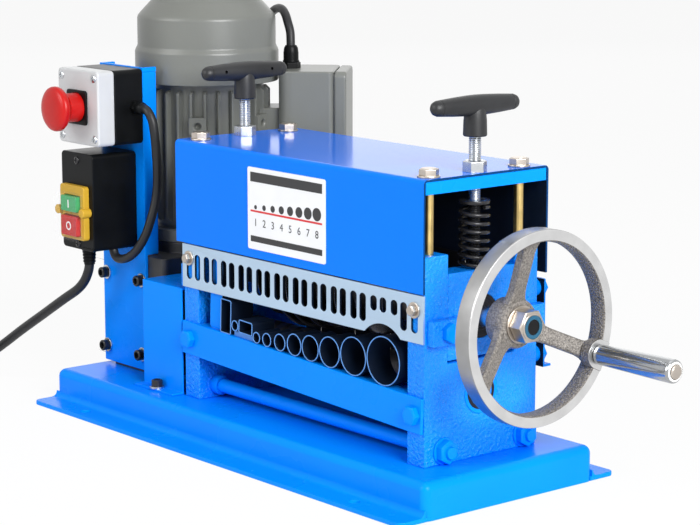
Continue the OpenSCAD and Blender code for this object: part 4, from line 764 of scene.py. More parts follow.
# T-handles: moulded black grips with a tapering bar and a stem over the screw's head. Each bar has a cap
# line near its ends and two small blind holes on one flank.
grip_plastic = finish("grip_plastic", (0.014, 0.0145, 0.016), 0.25, (0.36, 0.5), 900, 0.12, specular=0.35)
grip_half = 45
grip_mid_r = 8.25
grip_end_r = 6.2
hole_reach = 25
hole_r = 1.4
hole_l = 12
for side, x in zip(("left", "right"), plate_mids):
    grip_low, grip_high = extent(f"{side}_t_handle")
    axis_z = grip_high.z - grip_mid_r
    half_bar = [(0, grip_mid_r), (10, grip_mid_r - 0.2), (24, grip_mid_r - 0.9), (36, grip_end_r + 0.3),
                (37.2, grip_end_r + 0.2), (37.5, grip_end_r - 0.15), (37.9, grip_end_r + 0.15),
                (40, grip_end_r), (42.6, grip_end_r - 1.0), (44.2, grip_end_r - 2.6),
                (grip_half, grip_end_r - 4.4), (grip_half, 0)]
    bm = bmesh.new()
    lathe(bm, [(-y, r) for y, r in reversed(half_bar)] + half_bar[1:], (x, shaft_y, axis_z), "Y", 40)
    lathe(bm, [(grip_low.z, 0), (grip_low.z, 8.9), (grip_low.z + 0.8, 9.5), (grip_low.z + 12, 9.2),
               (axis_z - 6, 8.6), (axis_z - 2, 8.0), (axis_z, 6.5), (axis_z, 0)], (x, shaft_y, 0), "Z", 48)
    handle = loose(f"{side}_grip", bm, [grip_plastic])
    bm = bmesh.new()
    hole_x = x - hole_l if side == "right" else x
    for reach in (-hole_reach, hole_reach):
        rod(bm, 0, hole_l, hole_r, (hole_x, shaft_y + reach, axis_z + 1), "X", 20)
    cut(handle, bm)
    dress(handle, "grip_plastic", [f"{side}_t_handle"], f"{side}_screw")

# Switch post and guard: folded channels of blue sheet. The post carries both control boxes and is bolted
# to the reducer, and the guard covers the coupling between reducer and roller.
softened("switch_post", "post_channel", enamel, "blue_paint", 0.9)
softened("coupling_guard", "guard_sheet", enamel, "blue_paint", 0.8)
post_low, post_high = extent("switch_post")
post_t = 3
lip = 4
inner_low = post_low.x + post_t
inner_high = post_high.x - post_t
front = post_low.y + post_t
bm = bmesh.new()
channel = [(post_low.x, post_low.y), (post_high.x, post_low.y), (post_high.x, post_high.y),
           (inner_high, post_high.y), (inner_high, front), (inner_low, front), (inner_low, post_high.y),
           (post_low.x, post_high.y)]
prism(bm, channel, "Z", post_high.z, post_high.z + lip)
piece("post_lip", bm, [enamel], "blue_paint", soften=0.4)
guard_low, guard_high = extent("coupling_guard")
cap_screw = socket_head("cap_screw", 10, 6)
washer_t = 1.6
bm = bmesh.new()
washer(bm, 0, washer_t, 6.5, (0, 0, 0), "Z", 36)
flat_washer = loose("flat_washer", bm)
post_bolt_x = (post_low.x + 6, post_high.x - 6)
post_bolt_z = (48, 117)
guard_screw_x = (guard_low.x + guard_high.x) / 2
seats = [((x, post_low.y, z), (0, -1, 0)) for x in post_bolt_x for z in post_bolt_z]
seats += [((guard_screw_x, y, pan_high.z + 2), (0, 0, 1)) for y in (guard_low.y + 4.5, guard_high.y - 4.5)]
seated("cap_screw_washers", flat_washer, seats, zinc, "zinc_plate", ["socket_screws"])
seats = [(Vector(place) + Vector(way) * washer_t, way) for place, way in seats]
seated("black_cap_screws", cap_screw, seats, black_oxide, "black_oxide", ["socket_screws"])
remove(cap_screw, flat_washer)

# Bearings: ball bearings with ground rings and pressed shields, in the end plates for the roller and in
# the sliding blocks for the blade shaft. The lower ones were sprayed over with the plates. The upper ones
# and the shield rings on the lower ones take a near-black steel as painted shade.
ground_steel = finish("ground_steel", (0.6, 0.61, 0.62), 0.08, (0.2, 0.3), 900, 0.05, metallic=1.0,
                      mottle_scale=80)
shaded_bearing_steel = finish("shaded_bearing_steel", (0.03, 0.03, 0.035), 0.12, (0.3, 0.42), 900, 0.06, metallic=0.9,
                      mottle_scale=80)
softened("lower_bearings", "roller_bearings", enamel, "ground_steel", 0.4)
softened("upper_bearings", "blade_bearings", shaded_bearing_steel, "ground_steel", 0.4, "blade_carriage")
feed_z = sum(extent("lower_bearings"), Vector()).z / 2
shield_r = (10.4, 14.2)
shield_set_back = (0.55, 0.1)
bm = bmesh.new()
for x, way in outer_faces:
    inner, outer = (-way * depth for depth in shield_set_back)
    lathe(bm, [(inner, shield_r[0]), (outer, shield_r[0]), (outer, shield_r[1]), (inner, shield_r[1])],
          (x, shaft_y, feed_z), "X", 48, closed=True)
piece("bearing_shields", bm, [shaded_bearing_steel], "ground_steel")

# Feed roller and blades: a turned and grooved steel roller under a row of hardened round blades. The
# roller is driven by the reducer through a sleeve coupling, and the blade shaft carries the handwheel.
dark_steel = finish("dark_steel", (0.16, 0.16, 0.165), 0.15, (0.3, 0.42), 700, 0.08, metallic=0.9,
                    mottle_scale=70)
blade_steel = finish("blade_steel", (0.28, 0.28, 0.3), 0.1, (0.16, 0.26), 900, 0.05, metallic=1.0,
                     mottle_scale=100)
softened("feed_roller", "grooved_roller", dark_steel, "ground_steel", 0.15, "feed_drive")
softened("drive_coupling", "sleeve_coupling", dark_steel, "dark_steel", 0.6, "feed_drive")
softened("blade_shaft", "blade_arbor", ground_steel, "ground_steel", 0.4, "blade_spindle")
softened("cutting_blades", "round_blades", blade_steel, "blade_steel", 0.1, "blade_spindle")
softened("blade_spacers", "arbor_spacers", dark_steel, "dark_steel", 0.3, "blade_spindle")


# Handwheel: a dished sand casting with three spokes, turned only on its rim and crank boss, so the
# spokes and the rim's inside stay rough. It is keyed to the blade shaft and held by a lock nut.
def ring_tree():
    """Node tree that repeats an object round an axis."""
    sockets = (("Geometry", "Geometry"), ("Piece", "Object"), ("Count", "Int"), ("Axis", "Vector"),
               ("Centre", "Vector"), ("Finish", "Material"))
    tree, start, stand = copying_tree("repeat_round_axis", sockets)
    model = add_node(tree, "GeometryNodeObjectInfo", {"Object": start["Piece"]})
    spots = add_node(tree, "GeometryNodePoints", {"Count": start["Count"], "Position": start["Centre"]})
    step = calc(tree, "DIVIDE", 2 * math.pi, start["Count"])
    angle = calc(tree, "MULTIPLY", step, tree.nodes.new("GeometryNodeInputIndex").outputs[0])
    turn = add_node(tree, "FunctionNodeAxisAngleToRotation", {"Axis": start["Axis"], "Angle": angle})
    feed(stand, {"Points": spots.outputs[0], "Instance": model.outputs["Geometry"],
                 "Rotation": turn.outputs[0]})
    return tree


def ringed(name, model, count, axis, centre, look):
    """A model made about the origin, repeated round an axis through a centre."""
    place = [c * MM for c in centre]
    values = {"Piece": model, "Count": count, "Axis": axis, "Centre": place, "Finish": look}
    obj = grown(name, bpy.data.meshes.new(name), round_axis, values)
    remove(model)
    return obj


def loft(bm, rings, closed=False):
    """Skin over rings of points of one count, with an end on the first and last or back onto the first."""
    rings = [[bm.verts.new(Vector(spot) * MM) for spot in ring] for ring in rings]
    if not closed:
        bm.faces.new(rings[0])
        bm.faces.new(rings[-1])
    for one, two in zip(rings, rings[1:] + rings[:1] if closed else rings[1:]):
        for k in range(len(one)):
            bm.faces.new((one[k - 1], one[k], two[k], two[k - 1]))


def spun(name, profile, centre, axis, steps, look, slot, nodes=(), body="machine_frame", closed=False):
    """A dressed piece turned in one go."""
    bm = bmesh.new()
    lathe(bm, profile, centre, axis, steps, closed=closed)
    return piece(name, bm, [look], slot, nodes, body)


def turned(name, colour, centre, roughness):
    """Lathe-turned metal: fine rings round an X axis in its height."""
    made = finish(name, colour, 0.07, roughness, 700, 0.2, metallic=1.0, mottle_scale=70, depth=0.0001)
    tree = made.node_tree
    place = tree.nodes.new("ShaderNodeTexCoord").outputs["Object"]
    flat = add_node(tree, "ShaderNodeMapping", {
        "Vector": place, "Location": [-c * MM for c in centre], "Scale": (0, 1, 1)})
    radius = add_node(tree, "ShaderNodeVectorMath", {0: flat.outputs["Vector"]})
    radius.operation = "LENGTH"
    rings = tree.nodes.new("ShaderNodeTexNoise")
    rings.noise_dimensions = "1D"
    feed(rings, {"W": radius.outputs["Value"], "Scale": 2600, "Detail": 3})
    bump = next(n for n in tree.nodes if n.type == "BUMP")
    feed(bump, {"Height": rings.outputs["Fac"]})
    return made


round_axis = ring_tree()
sand_cast = finish("sand_casting", (0.19, 0.175, 0.16), 0.55, (0.4, 0.6), 620, 1.0, metallic=0.3,
                   mottle_scale=700, depth=0.0012)
wheel_low, wheel_high = extent("handwheel")
wheel_z = (wheel_low.z + wheel_high.z) / 2
wheel_r = (wheel_high.z - wheel_low.z) / 2
wheel_hub = (0, shaft_y, wheel_z)
machined = turned("turned_rim", (0.66, 0.66, 0.66), wheel_hub, (0.26, 0.36))
# A darker copy of the turned metal, painted shade on the rim's outer round face.
shaded_turned_rim = turned("turned_rim_painted_shade", (0.36, 0.36, 0.36), wheel_hub, (0.28, 0.4))
boss_front = wheel_high.x
rim_front = boss_front - 1
rim_back = rim_front - 15.6
rim_w = 9.6
rim_in = wheel_r - rim_w
bm = bmesh.new()
lathe(bm, [(rim_front, rim_in + 1.2), (rim_front, wheel_r - 1.3), (rim_front - 0.4, wheel_r - 0.4),
           (rim_front - 1.3, wheel_r), (rim_back + 1.3, wheel_r), (rim_back + 0.4, wheel_r - 0.4),
           (rim_back, wheel_r - 1.3), (rim_back, rim_in + 1.2), (rim_back + 0.8, rim_in + 0.4),
           (rim_back + 3, rim_in), (rim_back + 8, rim_in - 0.7), (rim_front - 3, rim_in),
           (rim_front - 0.8, rim_in + 0.4)], wheel_hub, "X", 128, closed=True)
for face in bm.faces:
    spot = face.calc_center_median() / MM
    reach = math.hypot(spot.y - shaft_y, spot.z - wheel_z)
    face.material_index = 1 if reach < rim_in + 0.9 else 2 if reach > wheel_r - 0.3 else 0
piece("wheel_rim", bm, [machined, sand_cast, shaded_turned_rim], "cast_wheel", ["handwheel"], "blade_spindle")
crank_angle = math.radians(-24.6)
crank_r = 67.4
hub_front = rim_back - 9
hub_back = wheel_low.x
spoke_w = 13
spoke_t = 10
dish = rim_back + 13.8 - hub_front
dish_start = 17
dish_run = 55.2
outward = Vector((0, math.cos(crank_angle), math.sin(crank_angle)))
across = Vector((0, -math.sin(crank_angle), math.cos(crank_angle)))
bm = bmesh.new()
rings = []
swells = ((15, 1.6), (19, 1.35), (24, 1.12), (30, 1.0), (58, 1.0), (63, 1.15), (67, 1.5), (70, 2.0))
for reach, swell in swells:
    front = hub_front - 1 + dish * max(0, reach - dish_start) / dish_run
    back = front - spoke_t
    half = spoke_w * swell / 2
    ring = ((back, 2 - half), (back + 2, -half), (front - 1.6, -half), (front, 1.6 - half),
            (front, half - 1.6), (front - 1.6, half), (back + 2, half), (back, half - 2))
    rings.append([Vector((x, 0, 0)) + outward * reach + across * t for x, t in ring])
loft(bm, rings)
spokes = ringed("wheel_spokes", loose("spoke", bm), 3, (1, 0, 0), wheel_hub, sand_cast)
dress(spokes, "cast_wheel", ["handwheel"], "blade_spindle", soften=0.7)
hub = [(hub_back, 0), (hub_back, 17), (hub_back + 1.6, 18.6), (hub_back + 8, 19.4), (hub_front - 6, 20),
       (hub_front - 2.5, 19.4), (hub_front - 0.6, 18.4), (hub_front, 16.8), (hub_front, 0)]
spun("wheel_hub", hub, wheel_hub, "X", 72, sand_cast, "cast_wheel", ["handwheel"], "blade_spindle")
crank_hub = (0, shaft_y + crank_r * math.cos(crank_angle), wheel_z + crank_r * math.sin(crank_angle))
boss_r = 11.8
boss_t = 9
boss_foot = 8
bm = bmesh.new()
arc = [(boss_r * math.cos(k * math.pi / 20), -boss_r * math.sin(k * math.pi / 20)) for k in range(21)]
horseshoe = [(boss_r, boss_foot), *arc, (-boss_r, boss_foot)]
centre = Vector(crank_hub)
loft(bm, [[centre + Vector((x, 0, 0)) + across * u + outward * v for u, v in horseshoe]
          for x in (boss_front - boss_t, boss_front)])
bm.normal_update()
for face in bm.faces:
    face.material_index = int(abs(face.normal.x) < 0.5)
piece("crank_boss", bm, [machined, sand_cast], "cast_wheel", ["handwheel"], "blade_spindle", soften=0.6)

# Wheel nut: a plated lock nut on a plain washer, with a blue plastic ring gripping the thread. The end of
# the shaft lies back in it, and a black disc inside the ring is painted shade in the nut's bore.
nut_low, nut_high = extent("wheel_nut")
nut_face = nut_high.x - 0.6
nut_foot = nut_low.x + 1.8
ring_foot = nut_face - 0.5
corner = 12 / math.cos(math.pi / 6)
bm = bmesh.new()
washer(bm, nut_low.x, 1.8, 15, wheel_hub, "X", 56)
lathe(bm, [(nut_foot, 0), (nut_foot, corner - 0.6), (nut_foot + 0.6, corner), (nut_face - 1.2, corner),
           (nut_face, corner - 2), (nut_face, 0)], wheel_hub, "X", 6)
lathe(bm, [(ring_foot, 11.2), (nut_face + 0.2, 11), (nut_high.x, 10.2), (nut_high.x, 9.4), (ring_foot, 9.2)],
      wheel_hub, "X", 56, closed=True)
piece("wheel_lock_nut", bm, [nickel], "zinc_plate", ["wheel_nut"], "blade_spindle", soften=0.3)
ring_blue = finish("ring_blue", (0.006, 0.08, 0.15), 0.1, (0.3, 0.4), 500, 0.05)
ring = [(ring_foot, 9.15), (nut_high.x - 0.1, 9.15), (nut_high.x, 8.6), (nut_high.x - 0.1, 6.2),
        (ring_foot, 6.2)]
spun("lock_ring", ring, wheel_hub, "X", 48, ring_blue, "blue_paint", body="blade_spindle", closed=True)
bm = bmesh.new()
rod(bm, ring_foot, nut_face + 0.1, 6.15, wheel_hub, "X", 48)
piece("thread_end", bm, [shade_black], "ground_steel", body="blade_spindle")

# Crank: a chromed steel sleeve that turns freely on a fixed pin, with a white plastic bush at its end
# and the pin's riveted head inside the bush.
chrome = finish("polished_chrome", (0.36, 0.37, 0.38), 0.03, (0.1, 0.17), 300, 0.02, metallic=0.82,
                mottle_scale=30)
bush_white = finish("bush_white", (0.8, 0.8, 0.79), 0.03, (0.35, 0.45), 500, 0.05)
sleeve_low, sleeve_high = extent("crank_handle")
pin_low, pin_high = extent("crank_spindle")
flare = [(0, 6.8), (0.5, 7.6), (1.4, 8.0), (6, 8.2), (26, 8.6), (50, 9.1), (68, 9.4), (76.6, 9.4),
         (78.2, 9.1), (78.8, 8.6), (79, 8.0), (78.2, 7.8), (78.2, 4.2), (0, 4.2)]
spun("crank_sleeve", [(sleeve_low.x + u, r) for u, r in flare], crank_hub, "X", 72, chrome, "polished_chrome",
     ["crank_handle"], "crank_grip", closed=True)
bush = [(-0.9, 4.2), (-0.9, 7.8), (0.1, 7.8), (0.3, 7.4), (0.3, 6.25), (-0.4, 6.1)]
spun("crank_bush", [(sleeve_high.x + u, r) for u, r in bush], crank_hub, "X", 56, bush_white, "white_plastic",
     body="crank_grip", closed=True)
pin_head = sleeve_high.x + 0.35
pin = [(pin_low.x, 0), (pin_low.x, 4), (pin_head, 4), (pin_head, 5.7), (pin_high.x - 0.9, 5.7),
       (pin_high.x - 0.2, 4.6), (pin_high.x, 2.8), (pin_high.x, 0)]
spun("crank_pin", pin, crank_hub, "X", 48, nickel, "zinc_plate", ["crank_spindle"], "blade_spindle")

# Reducer: a black cast-iron worm box under the motor, closed by round covers. It is bolted to the base
# pan and the post is bolted to its front.
black_casting = finish("black_casting", (0.028, 0.029, 0.031), 0.3, (0.4, 0.55), 420, 0.5, mottle_scale=60)
softened("reducer_housing", "reducer_case", black_casting, "black_casting", 1.2, steps=3)
softened("reducer_covers", "reducer_caps", black_casting, "black_casting", 0.6)
bronze = finish("gear_bronze", (0.55, 0.3, 0.12), 0.12, (0.28, 0.4), 600, 0.06, metallic=1.0)
softened("worm_wheel", "worm_gear", bronze, "gear_bronze", 0.2, "feed_drive")
softened("motor_rotor", "rotor_and_worm", dark_steel, "rotor_steel", 0.4, "motor_spindle")
softened("cooling_fan", "motor_fan", grip_plastic, "black_plastic", 0.4, "motor_spindle")
copper = finish("copper_winding", (0.6, 0.24, 0.1), 0.2, (0.3, 0.45), 900, 0.2, metallic=0.8)
softened("motor_stator", "stator_pack", copper, "copper_winding", 0.4)

# Motor: a flanged alternating-current motor in a ribbed aluminium frame, sprayed satin grey. It stands
# upright on the reducer, with spare mounting lugs and a sheet-steel cover over its fan.
motor_grey = finish("motor_grey", (0.154, 0.16, 0.146), 0.03, (0.31, 0.38), 520, 0.16, mottle_scale=18,
                    specular=0.45)
frame_low, frame_high = extent("motor_frame")
cover_low, cover_high = extent("fan_cover")
motor_axis = ((cover_low.x + cover_high.x) / 2, (cover_low.y + cover_high.y) / 2, 0)
frame_r = 52
flange_r = 60
flange_top = frame_low.z + 12
barrel = [(frame_low.z, 0), (frame_low.z, flange_r - 0.8), (frame_low.z + 0.8, flange_r),
          (flange_top - 1.2, flange_r), (flange_top, flange_r - 1.2), (flange_top, frame_r + 2),
          (flange_top + 2, frame_r), (frame_high.z, frame_r), (frame_high.z, 0)]
spun("motor_barrel", barrel, motor_axis, "Z", 96, motor_grey, "motor_grey", ["motor_frame"])
fin_count = 28
fin_r = 58
fin_slant = 2.5
fin_root = frame_r - 1
fin_half = (1.9, 1.25)
fin_z = (flange_top + 6, 288)
fin_line = ((fin_z[0], fin_r - fin_slant), (fin_z[0] + fin_slant, fin_r),
            (fin_z[1] - fin_slant, fin_r), (fin_z[1], fin_r - fin_slant))
bm = bmesh.new()
loft(bm, [[(fin_root, -fin_half[0], z), (fin_root, fin_half[0], z), (tip, fin_half[1], z),
           (tip, -fin_half[1], z)] for z, tip in fin_line])
fins = ringed("motor_ribs", loose("rib", bm), fin_count, (0, 0, 1), motor_axis, motor_grey)
dress(fins, "motor_grey", ["motor_frame"], soften=0.5)


def about_motor(bm, angle):
    """Swings what was modelled with its radial way along X to its place round the motor."""
    bmesh.ops.rotate(bm, verts=bm.verts, cent=(0, 0, 0), matrix=Matrix.Rotation(angle, 3, "Z"))
    bmesh.ops.translate(bm, verts=bm.verts, vec=Vector(motor_axis) * MM)


box_angle = math.radians(45)
lug_half = 8
lug_z = (249, 265)
lug_out = fin_r + 3
lug_hole = [(-6, 0), (-6, 2.6), (-1.6, 2.6), (0.4, 4.2), (0.4, 0)]
for turn in (1, 2, 3, 3.72):
    bm = bmesh.new()
    prism(bm, rounded((-lug_half, lug_z[0]), (lug_half, lug_z[1]), 2), "X", frame_r - 1, lug_out)
    lug = loose("motor_lug", bm, [motor_grey])
    bm = bmesh.new()
    lathe(bm, lug_hole, (lug_out, 0, sum(lug_z) / 2), "X", 28)
    cut(lug, bm)
    bm = bmesh.new()
    bm.from_mesh(lug.data)
    about_motor(bm, box_angle + turn * math.pi / 2)
    bm.to_mesh(lug.data)
    bm.free()
    dress(lug, "motor_grey", ["motor_frame"], soften=0.5)

# Fan cover: a spun sheet-steel bell with a stepped skirt, punched with rings of air holes at its top.
# It is pushed over the motor's end shield.
cover_t = 1.6
skirt_r = (cover_high.x - cover_low.x) / 2
bell_r = 63.5
step_z = 330
air_hole_r = 2.25
skin = [(cover_low.z + 4, skirt_r - 0.4), (cover_low.z + 5, skirt_r), (321, skirt_r), (323, skirt_r - 0.7),
        (325.5, bell_r + 0.5), (327, bell_r), (351, bell_r), (353.5, bell_r - 0.6), (356, bell_r - 2.6),
        (366, 51.6), (368, 49.8), (375, 45.6), (377.4, 44), (cover_high.z, 42)]
inner = [(z - (cover_t if z > step_z else 0), r - cover_t) for z, r in skin]
bm = bmesh.new()
lathe(bm, [*skin, (cover_high.z, 0), (cover_high.z - cover_t, 0), *reversed(inner)], motor_axis, "Z", 112,
      closed=True)
bell = loose("fan_bell", bm, [motor_grey])
for reach in (12, 22, 32):
    bm = bmesh.new()
    rod(bm, cover_high.z - 6, cover_high.z + 1, air_hole_r, (reach, 0, 0), "Z", 16)
    carve(bell, ringed("air_holes", loose("air_hole", bm), 12, (0, 0, 1), motor_axis, motor_grey))
dress(bell, "motor_grey", ["fan_cover"])

# Terminal box: a cast box and lid on the motor's flank, with rounded corners, a seam between them and a
# screw at each corner of the lid. Its cable gland stands on top.
box_low, box_high = extent("terminal_box")
box_half = 35
box_in = 69
box_out = 121
lid_out = 132
seam = box_out - 0.5
bm = bmesh.new()
plan = outline([(box_in, -box_half, 14), (seam, -box_half, 5), (seam, box_half, 5), (box_in, box_half, 14)])
prism(bm, plan, "Z", box_low.z, box_high.z)
slab(bm, (frame_r - 2, -20, box_low.z + 10), (box_in + 3, 20, box_high.z - 35))
slab(bm, (box_out - 1.5, 3 - box_half, box_low.z + 3), (box_out + 1, box_half - 3, box_high.z - 3))
about_motor(bm, box_angle)
piece("motor_box", bm, [motor_grey], "motor_grey", ["terminal_box"], soften=1.6, steps=3, sharp=50)
bm = bmesh.new()
prism(bm, rounded((-box_half, box_low.z), (box_half, box_high.z), 6), "X", box_out, lid_out)
about_motor(bm, box_angle)
piece("motor_box_lid", bm, [motor_grey], "motor_grey", ["terminal_box_lid"], soften=2.2, steps=3, sharp=50)
lid_screw = socket_head("lid_screw", 7, 1.2)
lid_screw_spots = [(t, u) for t in (-27, 27) for u in (-42, 42)]
lid_way = Vector((math.cos(box_angle), math.sin(box_angle), 0))
lid_side = Vector((-math.sin(box_angle), math.cos(box_angle), 0))
lid_mid = Vector(motor_axis) + lid_way * (lid_out - 1.3) + Vector((0, 0, (box_low.z + box_high.z) / 2))
seats = [(lid_mid + lid_side * t + Vector((0, 0, u)), lid_way) for t, u in lid_screw_spots]
seated("lid_screws", lid_screw, seats, zinc, "zinc_plate")
remove(lid_screw)

# Glands: moulded black cable glands on the terminal box and the stop box, each a hexagon with a ribbed
# dome nut above it.
black_plastic = finish("black_plastic", (0.004, 0.0045, 0.005), 0.25, (0.3, 0.42), 700, 0.1, specular=0.12)
motor_exit = (-142.85, 98.15, box_high.z)
stop_exit = (-180, -50, 276)
bm = bmesh.new()
lathe(bm, [(0, 0), (0, 9), (5, 9), (5.6, 8.4), (5.6, 0)], motor_exit, "Z", 6)
lathe(bm, [(5.6, 0), (5.6, 7.6), (7.2, 7.6), (7.2, 7), (14, 7), (18.5, 6.4), (21, 5), (21, 0)],
      motor_exit, "Z", 40)
lathe(bm, [(0, 0), (0, 6.5), (4, 6.5), (4.5, 6), (4.5, 0)], stop_exit, "X", 6)
lathe(bm, [(4.5, 0), (4.5, 6), (9, 6), (12, 5), (13, 4), (13, 0)], stop_exit, "X", 36)
piece("lead_glands", bm, [black_plastic], "black_plastic", ["cable_glands"], soften=0.3)

# Stop box: a black base on the post and a white cover held by four cross-head screws, with a black
# square collar round the red button. Both halves are moulded plastic.
white_plastic = finish("white_plastic", (0.54, 0.55, 0.56), 0.03, (0.3, 0.4), 600, 0.06)
red_plastic = finish("red_plastic", (0.46, 0.006, 0.005), 0.08, (0.26, 0.36), 500, 0.05, specular=0.3)
softened("stop_box_base", "stop_base", black_plastic, "black_plastic", 1.0, steps=3)
shell_low, shell_high = extent("stop_box_cover")
stop_mid = ((shell_low.x + shell_high.x) / 2, 0, (shell_low.z + shell_high.z) / 2)
shell_hole_r = 14.5
bm = bmesh.new()
face = rounded((shell_low.z, shell_low.x), (shell_high.z, shell_high.x), 4)
prism(bm, face, "Y", shell_low.y, shell_high.y)
stop_cover = loose("stop_cover", bm, [white_plastic])
bevel(stop_cover, 1.8, 4, 30)
bm = bmesh.new()
rod(bm, shell_low.y - 2, shell_high.y + 2, shell_hole_r, stop_mid, "Y", 64)
cut(stop_cover, bm)
dress(stop_cover, "white_plastic", ["stop_box_cover"])
softened("stop_bezel", "stop_collar", black_plastic, "black_plastic", 0.7, steps=3)
bm = bmesh.new()
lathe(bm, [(0, 0), (0, 3.6), (0.8, 3.4), (1.3, 2.4), (1.5, 0)], (0, 0, 0), "Z", 32)
cross_screw = loose("cross_screw", bm)
for u, v in ((2.2, 0.5), (0.5, 2.2)):
    bm = bmesh.new()
    slab(bm, (-u, -v, 0.5), (u, v, 3))
    cut(cross_screw, bm)
seats = [((stop_mid[0] + t, shell_low.y + 0.1, stop_mid[2] + u), (0, -1, 0))
         for t in (-25.5, 25.5) for u in (-27, 27)]
seated("stop_cover_screws", cross_screw, seats, zinc, "zinc_plate")
neck_low, neck_high = extent("stop_plunger")
head_low, head_high = extent("stop_head")
neck_r = (neck_high.x - neck_low.x) / 2
head_r = (head_high.x - head_low.x) / 2
front = head_low.y
back = head_high.y
neck = [(neck_high.y, 0), (neck_high.y, neck_r), (back + 0.4, neck_r), (back, neck_r - 0.4), (back, 4.9),
        (neck_low.y, 4.9), (neck_low.y, 0)]
spun("stop_neck", neck, stop_mid, "Y", 64, red_plastic, "red_plastic", ["stop_plunger"], "stop_shank")
cap = [(back - 8.2, 0), (back - 8.2, 5.02), (back, 5.02), (back, neck_r), (back - 1.2, neck_r + 1.2),
       (back - 4.2, head_r - 2), (back - 5.2, head_r - 0.8), (back - 6.8, head_r), (front + 5, head_r),
       (front + 3.4, head_r - 0.6), (front + 2, head_r - 2.2), (front + 1, head_r - 5),
       (front + 0.3, head_r - 9), (front, head_r - 14), (front, 0)]
spun("stop_mushroom_cap", cap, stop_mid, "Y", 72, red_plastic, "red_plastic", ["stop_head"], "stop_mushroom")

# Switch box: a black moulded box under the stop box with a yellow push-button insert. Green starts and
# red stops, each key has its plain sign, and a thin clear frame keeps dust off both.
softened("switch_box", "switch_case", black_plastic, "black_plastic", 1.0, steps=3)
yellow_plastic = finish("yellow_plastic", (0.54, 0.32, 0.025), 0.05, (0.3, 0.4), 500, 0.05, specular=0.3)
green_plastic = finish("green_plastic", (0.015, 0.3, 0.09), 0.06, (0.28, 0.38), 500, 0.05, coat=0.1)
softened("switch_bezel", "switch_insert", yellow_plastic, "yellow_plastic", 0.8, steps=3)
bezel_low, bezel_high = extent("switch_bezel")
switch_low, switch_high = extent("switch_box")
ear_r = 4.2
ear_z = (bezel_low.z + bezel_high.z) / 2 + 1
bm = bmesh.new()
for x in (bezel_low.x, bezel_high.x):
    rod(bm, bezel_low.y - 3.4, switch_low.y, ear_r, (x, 0, ear_z), "Y", 32)
piece("switch_ears", bm, [yellow_plastic], "yellow_plastic", soften=0.9, steps=3)
softened("start_key", "green_key", green_plastic, "green_plastic", 0.7, "start_key_body", 3)
softened("stop_key", "red_key", red_plastic, "red_plastic", 0.7, "stop_key_body", 3)
sign_white = finish("sign_white", (0.8, 0.8, 0.8), 0.03, (0.4, 0.5), 400, 0.04)
key_x = (bezel_low.x + bezel_high.x) / 2
start_low, start_high = extent("start_key")
stop_low, stop_high = extent("stop_key")
bar_half = (0.7, 3.6)
circle_r = (2.7, 3.9)
sign_z = (start_low.z + start_high.z) / 2
bm = bmesh.new()
slab(bm, (key_x - bar_half[0], start_low.y - 0.2, sign_z - bar_half[1]),
     (key_x + bar_half[0], start_low.y + 0.1, sign_z + bar_half[1]))
piece("start_sign", bm, [sign_white], "white_plastic", body="start_key_body")
sign_z = (stop_low.z + stop_high.z) / 2
circle = [(stop_low.y - 0.2, circle_r[0]), (stop_low.y - 0.2, circle_r[1]), (stop_low.y + 0.1, circle_r[1]),
          (stop_low.y + 0.1, circle_r[0])]
spun("stop_sign", circle, (key_x, 0, sign_z), "Y", 40, sign_white, "white_plastic", body="stop_key_body",
     closed=True)
clear_boot = finish("clear_boot", (0.85, 0.88, 0.9), 0.02, (0.05, 0.12), 300, 0.03)
clear_boot.node_tree.nodes["Principled BSDF"].inputs["Alpha"].default_value = 0.02
softened("switch_boot", "key_boot", clear_boot, "clear_boot", 0.6, steps=3)
seats = [((key_x, switch_low.y + 0.1, z), (0, -1, 0)) for z in (switch_low.z + 5, switch_high.z - 7)]
seated("switch_box_screws", cross_screw, seats, black_oxide, "black_oxide")
remove(cross_screw)


# Leads: round sheathed cable from the terminal box and the stop box down to the switch box. Each is held
# by its gland at one end and goes into the box at the other.
def smooth(points, steps=6):
    """Points along a smooth line through the given ones."""
    line = []
    ends = [points[0], *points, points[-1]]
    for a, b, c, d in zip(ends, ends[1:], ends[2:], ends[3:]):
        a, b, c, d = Vector(a), Vector(b), Vector(c), Vector(d)
        for k in range(steps):
            t = k / steps
            line.append(b + (c - a) * (t / 2) + (a * 2 - b * 5 + c * 4 - d) * (t * t / 2)
                        + (b * 3 - a - c * 3 + d) * (t ** 3 / 2))
    return [*line, Vector(points[-1])]


def tube(bm, line, radius, sides=20):
    """Round cable along a line, closed at both ends."""
    side = None
    rings = []
    turns = [2 * math.pi * k / sides for k in range(sides)]
    for i, spot in enumerate(line):
        ahead = (line[min(i + 1, len(line) - 1)] - line[max(i - 1, 0)]).normalized()
        side = (ahead.orthogonal() if side is None else side - ahead * side.dot(ahead)).normalized()
        other = ahead.cross(side)
        rings.append([spot + (side * math.cos(turn) + other * math.sin(turn)) * radius for turn in turns])
    loft(bm, rings)


